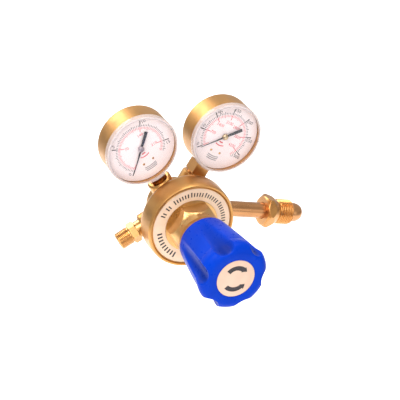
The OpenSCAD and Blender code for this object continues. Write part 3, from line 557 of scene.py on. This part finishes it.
def dressed(node, name, smooth_to=25):
    """A copy of a solid with its loose triangles joined and its flat faces made whole."""
    mesh = frame["nodes"][node].data.copy()
    mesh.name = name
    shape = bmesh.new()
    shape.from_mesh(mesh)
    bmesh.ops.remove_doubles(shape, verts=shape.verts, dist=2e-6)
    bmesh.ops.dissolve_limit(
        shape, angle_limit=radians(0.5), verts=shape.verts, edges=shape.edges)
    shape.to_mesh(mesh)
    shape.free()
    mesh.shade_smooth()
    mesh.set_sharp_from_angle(angle=radians(smooth_to))
    return mesh


def eased(shown, edge_mm):
    """Rounds the edges of a piece a little, so that they catch the light."""
    bevel = shown.modifiers.new("eased edges", "BEVEL")
    bevel.width = edge_mm / 1000
    bevel.segments = 2
    bevel.limit_method = "ANGLE"
    bevel.angle_limit = radians(30)
    bevel.harden_normals = True


print("surface tools ready")

# %% [markdown]
# ## Body and bonnet
#
# The body is one forging: a bowl with four bosses behind it. Its surfaces meet in curves
# that a grid can't follow, so the exact solid is copied, joined and given a small bevel.
# The bonnet screws into the bowl, and its hexagon runs into the round spring housing
# over a turned cone, which makes the bright rounded facets of the photograph. A low
# collar lies round the housing just behind the knob. It could be cut into the copy, but
# a thin ring laid over it keeps the copy exact.

# %% Body, bonnet and the gauges' wrench squares
COLLAR = band(19.6, 20.45, 59.0, 70.0)

bowl = piece(dressed("body", "body_forging"), "regulator", "forged_brass", ["body"])
eased(bowl, 0.5)
bonnet = piece(dressed("bonnet", "bonnet_cap"), "regulator", "bonnet_brass",
               ["bonnet"])
eased(bonnet, 0.4)
piece(turned("bonnet_collar", COLLAR, main, 0.2, True), "regulator", "forged_brass")
for side in gauges:
    socket = piece(dressed(f"{side}_gauge_socket", f"{side}_gauge_stem"), "regulator",
                   "socket_brass", [f"{side}_gauge_socket"])
    eased(socket, 0.2)

# %% [markdown]
# ## The knob
#
# The knob is one moulding with six round-bottomed flutes, which lean with its taper.
# They fade out just before the back edge, and in front they run out through the rounding
# of the face. Cutting it from a blank, as the solid is, leaves hard edges, and the real
# one is soft everywhere. So the skin is one grid whose radius is the smaller of two
# shapes at each angle and height: the round blank and the nearest flute. A smooth
# minimum melts them together like moulded plastic.

# %% The knob's skin
KNOB_BACK, KNOB_FRONT = 66.0, 130.2
KNOB_SKIRT, KNOB_ROUND, KNOB_FLARE = 5.0, 8.0, 16.0
KNOB_SKIRT_R, KNOB_MID_R, KNOB_LOBE_R = 23.9, 29.1, 30.7
KNOB_RIM_IN, KNOB_RIM_UP, KNOB_SWELL = 1.0, 1.2, 0.25
FLUTES, FLUTE_R, FLUTE_FLOOR, FLUTE_BACK = 6, 10.8, 25.1, 23.5
FLUTE_RISE = (FLUTE_FLOOR - FLUTE_BACK) / (KNOB_FRONT - KNOB_BACK)
FLUTE_SOFT, NO_FLUTE = 1.1, 99.0
KNOB_TURN = radians(-19)
KNOB_BORE_R, SCREW_BORE_R, POCKET_R, SEAT_R = 20.6, 6.08, 12.0, 17.15
BORE_END, POCKET_END, SEAT_END = 104.0, 118.0, 129.8


def blank_radius(h):
    """Radius of the round blank at height h.

    The side grows by (1 + s) t - s t^2, the flare by sin, and the front is a quarter round.
    """
    skirt, flare, wide = KNOB_BACK + KNOB_SKIRT, KNOB_FRONT - KNOB_FLARE, KNOB_FRONT - KNOB_ROUND
    t = (h - skirt) / (flare - skirt)
    grown = (1 + KNOB_SWELL) * t - KNOB_SWELL * t * t
    side = KNOB_SKIRT_R + (KNOB_MID_R - KNOB_SKIRT_R) * grown
    u = np.clip((h - flare) / (wide - flare), 0, 1)
    flared = KNOB_MID_R + (KNOB_LOBE_R - KNOB_MID_R) * np.sin(pi / 2 * u)
    over = np.maximum(h - wide, 0)
    front = KNOB_LOBE_R - KNOB_ROUND + np.sqrt(np.maximum(KNOB_ROUND ** 2 - over ** 2, 0))
    return np.where(h < flare, side, np.where(h < wide, flared, front))


def flute_radius(h, a):
    """Distance from the axis to the nearest flute, a leaning cylinder, at angle a.

    The ray meets the circle of radius R about c at c cos a - sqrt(R^2 - (c sin a)^2).
    """
    centre = FLUTE_FLOOR + FLUTE_R + FLUTE_RISE * (h - KNOB_FRONT)
    step = 2 * pi / FLUTES
    off = (a - KNOB_TURN + step / 2) % step - step / 2
    inside = FLUTE_R ** 2 - (centre * np.sin(off)) ** 2
    met = centre * np.cos(off) - np.sqrt(np.maximum(inside, 0))
    return np.where(inside > 0, met, NO_FLUTE)


def soft_min(p, q, k):
    """The smaller of two lengths, with the crease between them rounded over a width of k."""
    blend = np.maximum(k - np.abs(p - q), 0) / k
    return np.minimum(p, q) - blend * blend * k / 4


def knob_grid(columns=400):
    """Rows from the back rim over skin, front, label seat and hollow, back to the rim."""
    a = np.linspace(0, 2 * pi, columns, endpoint=False)
    wide = KNOB_FRONT - KNOB_ROUND
    rise = np.linspace(KNOB_BACK + KNOB_RIM_UP, wide, 120)
    turn = np.linspace(0, pi / 2, 40)[1:]
    h = np.concatenate([rise, wide + KNOB_ROUND * np.sin(turn)])[:, None]
    skin = soft_min(blank_radius(h), flute_radius(h, a), FLUTE_SOFT)
    rim = np.linspace(0, pi / 2, 5)[:-1, None]
    rim_r = skin[:1] - KNOB_RIM_IN + KNOB_RIM_IN * np.sin(rim)
    rim_h = KNOB_BACK + KNOB_RIM_UP - KNOB_RIM_UP * np.cos(rim)
    inside = np.array([
        (SEAT_R + 0.45, KNOB_FRONT), (SEAT_R, KNOB_FRONT - 0.1), (SEAT_R, SEAT_END),
        (POCKET_R, SEAT_END), (POCKET_R - 0.03, POCKET_END), (SCREW_BORE_R, POCKET_END),
        (SCREW_BORE_R, BORE_END), (KNOB_BORE_R - 0.6, BORE_END), (KNOB_BORE_R, BORE_END - 0.6),
        (KNOB_BORE_R, KNOB_BACK + 0.4), (KNOB_BORE_R + 0.15, KNOB_BACK)])
    r = np.concatenate([rim_r, skin, np.repeat(inside[:, :1], columns, 1)])
    z = np.repeat(np.concatenate([rim_h, h, inside[:, 1:]]), columns, 1)
    return np.stack([r * np.sin(a), r * np.cos(a), z], -1)


def with_hollow(mesh):
    """Stores how far each point lies under the round blank, in millimetres, for the painted shade in the flutes.
    """
    x, y, h = measured(mesh, main)
    under = np.where(h < KNOB_FRONT - 0.02, blank_radius(h) - np.hypot(x, y), 0)
    return stored(mesh, "hollow", under)


knob = with_hollow(surface("knob_moulding", placed(knob_grid(), main), True))
piece(knob, "knob", "knob_blue", ["knob"])

# %% [markdown]
# ## Labels
#
# A cream ring lies in the bonnet's face and a cream disc in the knob's. The disc shows
# two plain arrows that say which way the knob turns, and the ring gets a plain scale of
# strokes. They could come from an image, but bent bars stay sharp at any size. All print
# is a thin solid that stands three hundredths of a millimetre proud.

# %% Label film
RING_INNER, RING_OUTER, RING_FLOOR, RING_FACE = 24.6, 36.0, 37.6, 38.0
DISC_R, DISC_FLOOR, DISC_FACE = 17.0, 129.8, 130.16

ring = turned("ring_label_film", band(RING_INNER, RING_OUTER, RING_FLOOR, RING_FACE), main,
              0.05, True)
piece(ring, "regulator", "label_film", ["ring_label"])
disc = turned("knob_label_film", band(0, DISC_R, DISC_FLOOR, DISC_FACE), main, 0.05)
piece(disc, "knob", "shaded_disc_film", ["knob_label"])

# %% Print as thin bent bars
PRINT = 0.03
UPPER_GROUPS = [(-64, -56), (-50, -42), (-34, -9), (-3, 18), (23, 49), (55, 96)]
LOWER_GROUPS = [(-150, -93)]
UPPER_STROKES, LOWER_STROKES = (5.0, 1.1, 28.1, 31.9), (6.6, 1.5, 27.7, 32.2)
FIRST_LONGER = 0.8
ARROWS = [
    (-45, 43, (7.3, 7.7, 7.6), (11.6, 11.8, 12.0)), (43, 64, (6.6, 10.7), (12.8, 10.9)),
    (-128, -212, (8.5, 8.2, 7.9), (12.5, 12.3, 12.0)), (-212, -232, (7.2, 10.6), (13.4, 10.8))]


def evenly(values, count):
    """A few values spread over a number of places by straight lines."""
    return np.interp(np.linspace(0, 1, count), np.linspace(0, 1, len(values)), values)


def bent_bars(rows, height):
    """Thin bars in polar form: x = r sin a, y = r cos a, z from height up by the print.

    Each row gives a start and an end angle, and radii of the inner and the outer edge.
    """
    solids, faces, base = [], [], 0
    for a0, a1, inner, outer in rows:
        count = max(2, int(abs(a1 - a0) / 2) + 1)
        a = np.radians(np.linspace(a0, a1, count))
        r_in, r_out = evenly(inner, count), evenly(outer, count)
        edges = [
            np.stack([r * np.sin(a), r * np.cos(a), np.full(count, z)], -1)
            for r, z in ((r_in, height), (r_out, height),
                         (r_out, height + PRINT), (r_in, height + PRINT))]
        solids.append(np.stack(edges, 1).reshape(-1, 3))
        at = base + 4 * np.arange(count - 1)[:, None]
        k = np.arange(4)
        after = (k + 1) % 4
        strip = np.stack([at + k, at + after, at + 4 + after, at + 4 + k], -1)
        faces += strip.reshape(-1, 4).tolist()
        last = base + 4 * (count - 1)
        faces += [[base + i for i in (3, 2, 1, 0)], [last + i for i in range(4)]]
        base += 4 * count
    return np.concatenate(solids), faces


def print_piece(name, solid, where, body, made):
    """Print as one mesh that rides with what it is printed on."""
    points, faces = solid
    mesh = bpy.data.meshes.new(name)
    mesh.from_pydata(placed(points, where).tolist(), [], faces)
    return piece(joined(mesh), body, made)


def stroke_groups(groups, period, half_wide, inner, outer):
    """Even strokes in groups with gaps between them, the first of each group longer."""
    rows = []
    for start, end in groups:
        for k in range(int((end - start) / period) + 1):
            a = start + k * period
            reach = outer + (FIRST_LONGER if k == 0 else 0)
            rows.append((a - half_wide, a + half_wide, (inner,) * 2, (reach,) * 2))
    return rows


strokes = stroke_groups(UPPER_GROUPS, *UPPER_STROKES)
strokes += stroke_groups(LOWER_GROUPS, *LOWER_STROKES)
print_piece("ring_label_scale", bent_bars(strokes, RING_FACE), main, "regulator",
            "ink_label")
print_piece("knob_arrows", bent_bars(ARROWS, DISC_FACE), main, "knob", "ink_label")

# %% [markdown]
# ## Gauges: case, lens and dial
#
# A gauge is a drawn cup with a lens pressed over its rim. Cup and lens are profiles
# carried round the gauge's axis. The lens has a raised rim that catches the light, and
# each of its points stores its distance from the axis, so that the finish can turn milky
# at the edge. One section of case, lens and dial serves both gauges.

# %% Cases, lenses and dials
DIAL_FACE = 10.0
DIAL = band(0, 31.2, DIAL_FACE - 0.5, DIAL_FACE)
CASE_BACK_R, CASE_BACK, CASE_ROUND = 30.2, -7.5, 2.0
LIP_R, LIP, LIP_ROUND = 31.85, 14.15, 0.35
LENS_TOP, FINE_FROM, FINE_TO, FINE_ROWS = 16.2, 30.5, 27, 22
LENS = [(0, 15.0), (31.2, 15.0), (32.25, 14.6), (32.25, 11.8), (32.99, 11.8),
        (32.99, LENS_TOP), (32.6, 16.6), (31.4, 16.6), (30.6, LENS_TOP), (0, LENS_TOP)]


def case_profile():
    """The cup's section: a quarter round at the back, a rolled lip, and the inside wall."""
    t = np.linspace(0, pi / 2, 8)
    back = np.stack([CASE_BACK_R + CASE_ROUND * np.sin(t), CASE_BACK - CASE_ROUND * np.cos(t)], -1)
    lip = np.stack([LIP_R + LIP_ROUND * np.cos(2 * t), LIP + LIP_ROUND * np.sin(2 * t)], -1)
    return np.concatenate([[(0, -9.5)], back, lip, [(31.5, -8.0), (30.8, -8.8), (0, -8.8)]])


def lens_profile():
    """The lens's section, with points close together where it turns from clear to milky."""
    outer = rounded(LENS, 0.25)
    fine = np.stack(
        [np.linspace(FINE_FROM, FINE_TO, FINE_ROWS), np.full(FINE_ROWS, LENS_TOP)], -1)
    return np.concatenate([outer[:-1], fine, outer[-1:]])


def with_reach(mesh, where):
    """Stores the distance of each point from the gauge's axis, in millimetres."""
    x, y, _ = measured(mesh, where)
    return stored(mesh, "reach", np.hypot(x, y))


for side, where in gauges.items():
    case = turned(f"{side}_case_shell", case_profile(), where, 0.01)
    piece(case, "regulator", "case_brass", [f"{side}_gauge_case"])
    lens = with_reach(turned(f"{side}_lens_cap", lens_profile(), where, 0.01), where)
    piece(lens, "regulator", "lens_clear", [f"{side}_gauge_lens"])
    dial = turned(f"{side}_dial_plate", DIAL, where, 0.05)
    piece(dial, "regulator", "dial_enamel", [f"{side}_gauge_dial"])

# %% [markdown]
# ## Scales
#
# Each dial has a black scale of long and short strokes with plain numbers outside it,
# and a finer red scale inside with its own numbers. The strokes are the same bent bars
# as on the labels. Short red and grey bars fill the lower part of the dial, and dark
# bars under the lens's rim are painted shade in the slots that hold it. Numbers start as
# text, which becomes a mesh with a little thickness. They are placed upright and joined,
# so all numbers of one ink are one piece.

# %% Numbers as thin solids
DIGIT_SHARE = 0.7


def number_solid(text, height):
    """A number as points and faces, centred on the origin, in the built-in letters."""
    curve = bpy.data.curves.new("number", "FONT")
    curve.body = text
    curve.size = height / DIGIT_SHARE
    curve.align_x, curve.align_y = "CENTER", "CENTER"
    curve.extrude = PRINT / 2
    curve.resolution_u = 3
    holder = bpy.data.objects.new("number", curve)
    bpy.context.scene.collection.objects.link(holder)
    bpy.context.view_layer.update()
    drawn = holder.evaluated_get(bpy.context.evaluated_depsgraph_get())
    mesh = bpy.data.meshes.new_from_object(drawn)
    points = np.empty(len(mesh.vertices) * 3)
    mesh.vertices.foreach_get("co", points)
    faces = [list(face.vertices) for face in mesh.polygons]
    bpy.data.objects.remove(holder)
    bpy.data.meshes.remove(mesh)
    bpy.data.curves.remove(curve)
    return points.reshape(-1, 3), faces


def numbers_round(texts, angles, radius, height):
    """Upright numbers at angles clockwise from the top: x = r sin a, y = r cos a."""
    all_points, all_faces, base = [], [], 0
    for text, angle in zip(texts, angles):
        points, faces = number_solid(text, height)
        a = radians(angle)
        shift = (radius * sin(a), radius * cos(a), DIAL_FACE + PRINT / 2)
        all_points.append(points + shift)
        all_faces += [[base + k for k in face] for face in faces]
        base += len(points)
    return np.concatenate(all_points), all_faces


print("number tools ready")

# %% Scales of both gauges
STROKE, BOLD = 0.62, 1.7
BLACK_STROKES = ((20.9, 22.5), (20.9, 23.3), (20.6, 26.4))
RED_STROKES = ((18.3, 20.4), (17.5, 20.4), (15.4, 20.4))
NUMBER_LEAD, BLACK_AT, BLACK_HIGH, RED_AT, RED_HIGH = 7, 25.4, 3.0, 12.6, 2.7
GREY_RULES = ((16, 19.9, 0.9), (15.5, 21.5, 0.9), (13, 23.1, 0.9))
RED_RULES = ((17, 5.6, 1.1), (27, 8.9, 0.9))
SLOT_INNER, SLOT_OUTER, SLOT_HALF, SLOT_HIGH = 31.55, 32.1, 1.6, 14.5
SCALES = {
    "left": {"start": -137.0, "end": 131.8, "step": 81.7, "parts": 20,
             "black": ["0", "5", "10", "15"], "red": ["70", "140", "210"],
             "slots": (88, -92)},
    "right": {"start": -135.0, "end": 129.4, "step": 41.3, "parts": 10,
              "black": ["0", "50", "100", "150", "200", "250", "300"],
              "red": ["700", "1400", "2100", "2800", "3500", "4200"],
              "slots": (1, 12, 87)}}


def scale_strokes(scale, fine, middle, whole):
    """Strokes at start + k step / parts. Each fifth is longer, and whole steps are bolder."""
    small, rows = scale["step"] / scale["parts"], []
    for k in range(int(round((scale["end"] - scale["start"]) / small)) + 1):
        a = scale["start"] + k * small
        bold = k % scale["parts"] == 0
        inner, outer = whole if bold else middle if k % 5 == 0 else fine
        half = STROKE * (BOLD if bold else 1)
        rows.append((a - half, a + half, (inner,) * 2, (outer,) * 2))
    return rows


def rules(lines):
    """Bars across the dial's lower part, from half angle, inner radius and thickness."""
    return [(180 + half, 180 - half, (r,) * 2, (r + thick,) * 2) for half, r, thick in lines]


def on_gauge(side, name, solid, made):
    """Print on one gauge."""
    print_piece(f"{side}_{name}", solid, gauges[side], "regulator", made)


for side, scale in SCALES.items():
    for shade, lengths in (("black", BLACK_STROKES), ("red", RED_STROKES)):
        strokes = bent_bars(scale_strokes(scale, *lengths), DIAL_FACE)
        on_gauge(side, f"scale_{shade}", strokes, f"ink_{shade}")
    at = [scale["start"] + k * scale["step"] for k in range(len(scale["black"]))]
    outside = numbers_round(scale["black"], [a + NUMBER_LEAD for a in at], BLACK_AT, BLACK_HIGH)
    on_gauge(side, "numbers_black", outside, "ink_black")
    inside = numbers_round(scale["red"], at[1:], RED_AT, RED_HIGH)
    on_gauge(side, "numbers_red", inside, "ink_red")
    for shade, lines in (("grey", GREY_RULES), ("red", RED_RULES)):
        on_gauge(side, f"{shade}_rules", bent_bars(rules(lines), DIAL_FACE), f"ink_{shade}")
    # Dark bars under the rim: painted shade in the lens's holding slots.
    slots = [(a - SLOT_HALF, a + SLOT_HALF, (SLOT_INNER,) * 2, (SLOT_OUTER,) * 2)
             for a in scale["slots"]]
    on_gauge(side, "rim_slot_shade", bent_bars(slots, SLOT_HIGH), "ink_black")

# %% [markdown]
# ## Needles
#
# The needle is a stamped blade: fine at its tip, and wide at its tail for balance. Its
# arbor runs down through the dial to the pinion, and a domed cap covers the top. The
# blade is made at the dial's top and then turned to its stop, so that it rests where the
# joint has its zero. Blade, arbor and cap all ride with the needle's body.

# %% Blades, arbors and caps
NEEDLE_REST = radians(-136)
BLADE_LOW, BLADE_HIGH = 11.4, 11.9
BLADE = [(0.16, 23.8), (0.3, 18), (0.62, 8), (0.85, 2), (1.0, -2.7), (1.35, -8),
         (1.45, -16.0), (1.3, -16.5)]
ARBOR = [(0, -3.0), (0.7, -3.0), (0.7, 0), (1.05, 0), (1.05, 1.8), (0.7, 1.8),
         (0.7, 11.3), (0, 11.3)]
CAP = [(0, 11.0), (2.7, 11.0), (2.7, 12.3), (2.3, 12.95), (1.4, 13.45), (0, 13.5)]
CAP_FINISH = {"left": "cap_lilac", "right": "cap_brass"}


def blade_solid():
    """The blade's outline, mirrored about its middle, turned, and given its thickness."""
    half = np.array(BLADE)
    outline = np.concatenate([half, half[::-1] * (-1, 1)])
    c, s = cos(NEEDLE_REST), sin(NEEDLE_REST)
    flat = outline @ np.array([[c, -s], [s, c]])
    count = len(flat)
    points = np.concatenate(
        [np.column_stack([flat, np.full(count, z)]) for z in (BLADE_LOW, BLADE_HIGH)])
    k = np.arange(count)
    after = (k + 1) % count
    walls = np.stack([k, after, after + count, k + count], -1)
    strips = [[i, i + 1, count - 2 - i, count - 1 - i] for i in range(count // 2 - 1)]
    caps = strips + [[count + i for i in strip] for strip in strips]
    return points, walls.tolist() + caps


for side, where in gauges.items():
    body = f"{side}_needle"
    blade = print_piece(f"{side}_needle_blade", blade_solid(), where, body,
                        "needle_black")
    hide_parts(f"{side}_gauge_needle")
    eased(blade, 0.08)
    arbor = turned(f"{side}_needle_arbor", ARBOR, where, 0.05, sides=48)
    piece(arbor, body, "machined_steel")
    cap = turned(f"{side}_needle_cap", CAP, where, 0.2, sides=96)
    piece(cap, body, CAP_FINISH[side])

# %% [markdown]
# ## Inlet
#
# The inlet is a tube that ends in a round nose, which seals in the cylinder valve. A nut
# turns freely on it and pulls on its shoulder. The nut's grid has a radius that is the
# smaller of a hexagon and a cone, which gives the curved chamfers of a real nut. Its
# thread is a true helix: each row climbs one pitch in one turn, and it fades at both
# ends as a cut thread does.

# %% Hexagon and thread
ROWS_A_TURN, VEE_TOP, VEE_SLOPE, THREAD_FADE = 10, 1.25, 2.7, 0.4


def hexagon_radius(a, flats, turn):
    """Distance from the axis to a hexagon's side: half flats / cos(angle off its middle)."""
    step = pi / 3
    return flats / 2 / np.cos((a - turn) % step - step / 2)


def thread_rows(start, end, radius, pitch, depth, a, tip):
    """Rows of a helical thread: z climbs by the pitch in each turn, and r dips by a V.

    The V is rounded, it fades at both ends, and the end is chamfered over the tip.
    """
    turns = int((end - start) / pitch) + 2
    row = np.arange(turns * ROWS_A_TURN + 1)[:, None] / ROWS_A_TURN
    z = np.clip(start + pitch * (row - 1 + a / (2 * pi)), start, end)
    vee = np.clip(VEE_TOP - VEE_SLOPE * np.abs(row % 1 - 0.5), 0, 1)
    run = THREAD_FADE * pitch
    run_in, run_out = (z - start) / run, (end - z) / run
    cut = depth * vee * np.clip(run_in, 0, 1) * np.clip(run_out, 0, 1)
    return np.minimum(radius - cut, radius - np.maximum(z - (end - tip), 0)), z


def rings(pairs, a):
    """Plain circular rows from pairs of radius and height."""
    pairs = np.array(pairs, float)
    return np.repeat(pairs[:, :1], len(a), 1), np.repeat(pairs[:, 1:], len(a), 1)


def hexagon_rows(start, end, count, flats, a, turn):
    """Rows whose radius is the smaller of a cone, from start to end, and the hexagon."""
    r, z = rings(np.linspace(start, end, count), a)
    return np.minimum(r, hexagon_radius(a, flats, turn)), z


def grid_of(rows, a):
    """Joins groups of rows into one grid: x = r cos a, y = r sin a, z = z."""
    r = np.concatenate([group[0] for group in rows])
    z = np.concatenate([group[1] for group in rows])
    return np.stack([r * np.cos(a), r * np.sin(a), z], -1)


print("hexagon and thread tools ready")

# %% The nut
NUT, NUT_FLATS, NUT_TURN = 89.5, 27, radians(-3)
NUT_CORNER = NUT_FLATS / sqrt(3) + 0.02
NUT_END, NUT_SEAT = NUT + 28.5, NUT + 16.42
NUT_BORE_R, NUT_MOUTH_R, NUT_NECK_R = 7.28, 9.3, 10.4
INLET_R, INLET_PITCH, INLET_DEPTH, INLET_TIP = 11.456, 1.814, 1.0, 1.3

around = np.linspace(0, 2 * pi, SIDES, endpoint=False) + NUT_TURN
nut = [
    rings([(NUT_BORE_R, NUT + 0.3), (7.6, NUT), (12.6, NUT)], around),
    hexagon_rows((12.7, NUT), (NUT_CORNER, NUT + 2.6), 16, NUT_FLATS, around, NUT_TURN),
    hexagon_rows((NUT_CORNER, NUT + 4.5), (11.6, NUT + 12), 40, NUT_FLATS, around, NUT_TURN),
    rings([(11.3, NUT + 12.1), (NUT_NECK_R, NUT + 12.4), (NUT_NECK_R, NUT + 13.4),
           (11.3, NUT + 14.1)], around),
    thread_rows(NUT + 14.2, NUT_END, INLET_R, INLET_PITCH, INLET_DEPTH, around - NUT_TURN,
                INLET_TIP),
    rings([(NUT_MOUTH_R + 0.3, NUT_END), (NUT_MOUTH_R, NUT_END - 0.3), (NUT_MOUTH_R, NUT_SEAT),
           (NUT_BORE_R, NUT_SEAT)], around)]
piece(surface("inlet_nut_turned", placed(grid_of(nut, around), inlet), True), "inlet_nut",
      "inlet_nut_brass", ["inlet_nut"])

# %% Nipple with its round nose
GAS_R, ROOT_R, ROOT_START, BOSS_OUT = 3.0, 6.5, 24.0, 34.5
TUBE_R, SHOULDER_R, SHOULDER = 7.2, 9.0, 106.0
NOSE_START, NOSE_LONG, NOSE_END, NOSE_TO, NOSE_POWER = 119.5, 10.85, 130.3, 80, 0.75


def nose_profile():
    """The round nose: r = bore + wall cos(90 t / to)^power and z = start + long sin t / sin to."""
    t = np.linspace(0, NOSE_TO, 24)
    wall = SHOULDER_R - GAS_R
    r = GAS_R + wall * np.cos(np.radians(t * 90 / NOSE_TO)) ** NOSE_POWER
    z = NOSE_START + NOSE_LONG * np.sin(np.radians(t)) / sin(radians(NOSE_TO))
    return np.stack([r, z], -1)


tube = np.concatenate([
    [(GAS_R, ROOT_START), (ROOT_R, ROOT_START), (ROOT_R, BOSS_OUT), (TUBE_R, BOSS_OUT + 0.05),
     (TUBE_R, SHOULDER - 0.1), (TUBE_R + 0.1, SHOULDER), (SHOULDER_R - 0.1, SHOULDER),
     (SHOULDER_R, SHOULDER + 0.1)],
    nose_profile(), [(GAS_R, NOSE_END), (GAS_R, NOSE_END - 0.3)]])
piece(turned("inlet_tube", tube, inlet, 0.08, True), "regulator", "nipple_brass",
      ["inlet_nipple"])

# %% [markdown]
# ## Outlet
#
# The outlet is made like the nut: a root in the body, a short hexagon, and a hose
# thread with a cone in its mouth where the hose nipple seals.

# %% Outlet adapter
OUTLET_FLATS, OUTLET_TURN = 17, radians(6)
OUTLET_CORNER = OUTLET_FLATS / sqrt(3) + 0.02
CHAMFER_R, HEX_START, HEX_END = OUTLET_CORNER - 1.52, 40.0, 47.0
OUTLET_R, OUTLET_PITCH, OUTLET_DEPTH, OUTLET_TIP, OUTLET_END = 8.33, 1.337, 0.6, 0.9, 59.4

around = np.linspace(0, 2 * pi, SIDES, endpoint=False) + OUTLET_TURN
adapter = [
    rings([(GAS_R, ROOT_START), (ROOT_R, ROOT_START), (ROOT_R, BOSS_OUT), (7.8, BOSS_OUT),
           (7.8, HEX_START - 0.05)], around),
    hexagon_rows((CHAMFER_R, HEX_START), (OUTLET_CORNER, HEX_START + 1), 10,
                 OUTLET_FLATS, around, OUTLET_TURN),
    hexagon_rows((OUTLET_CORNER, HEX_END - 1), (CHAMFER_R, HEX_END), 10,
                 OUTLET_FLATS, around, OUTLET_TURN),
    rings([(8.2, HEX_END), (7.5, HEX_END + 0.3), (7.5, HEX_END + 1), (8.2, HEX_END + 1.5)],
          around),
    thread_rows(HEX_END + 1.6, OUTLET_END, OUTLET_R, OUTLET_PITCH, OUTLET_DEPTH,
                around - OUTLET_TURN, OUTLET_TIP),
    rings([(6.3, OUTLET_END), (6.1, OUTLET_END - 0.2), (GAS_R, 53.95), (GAS_R, 52.0)], around)]
piece(surface("outlet_turned", placed(grid_of(adapter, around), outlet), True), "regulator",
      "outlet_brass", ["outlet_adapter"])

# %% [markdown]
# ## Springs and diaphragm
#
# A coil spring gets shorter when its moving seat comes nearer, which no rigid piece can
# do. Each spring here is a joined copy of its solid with a mesh of its own, and keeps its
# length. The diaphragm bends between the plate and its clamped edge. It is made as two
# flat rings, so that the inner one goes with the plate and the outer one stays in the body.

# %% Springs
def coil(node):
    """A spring as a joined copy of its solid, with a mesh of its own."""
    spring = piece(dressed(node, f"{node}_coil"), "regulator", "spring_steel",
                   [node])
    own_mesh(spring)


coil("main_spring")
coil("poppet_spring")

# %% Diaphragm in two rings
LEDGE, DIAPHRAGM_TOP = 24.0, 25.2
CLAMPED_R, PLATE_R, STUD_R = 36.4, 20.0, 3.1

edge = turned("diaphragm_rim", band(PLATE_R + 0.4, CLAMPED_R, LEDGE, DIAPHRAGM_TOP),
              main, 0.05, True)
piece(edge, "regulator", "diaphragm_rubber", ["diaphragm"])
middle = turned("diaphragm_centre", band(STUD_R, PLATE_R + 0.1, LEDGE, DIAPHRAGM_TOP),
                main, 0.05, True)
piece(middle, "diaphragm_plate", "diaphragm_rubber")

# %% [markdown]
# ## The solids that stay
#
# Screw, plate, valve and gauge movements are inside, for anyone who takes the model
# apart, and the small screws on the dials need no more detail. Their solids are exact,
# so they keep their shape and only get a finish, mostly the one that their slot names.

# %% Finishes for the solids that stay
slot_of = {part["node"]: part["material_slot"] for part in frame["record"]["subparts"]}
kept = [name for name, solid in frame["nodes"].items() if not solid.hide_render]
for name in kept:
    mesh = frame["nodes"][name].data
    made = "rivet_brass" if name.endswith("dial_screws") else slot_of[name]
    mesh.materials.clear()
    mesh.materials.append(finishes[made])
print("kept solids:", len(kept))
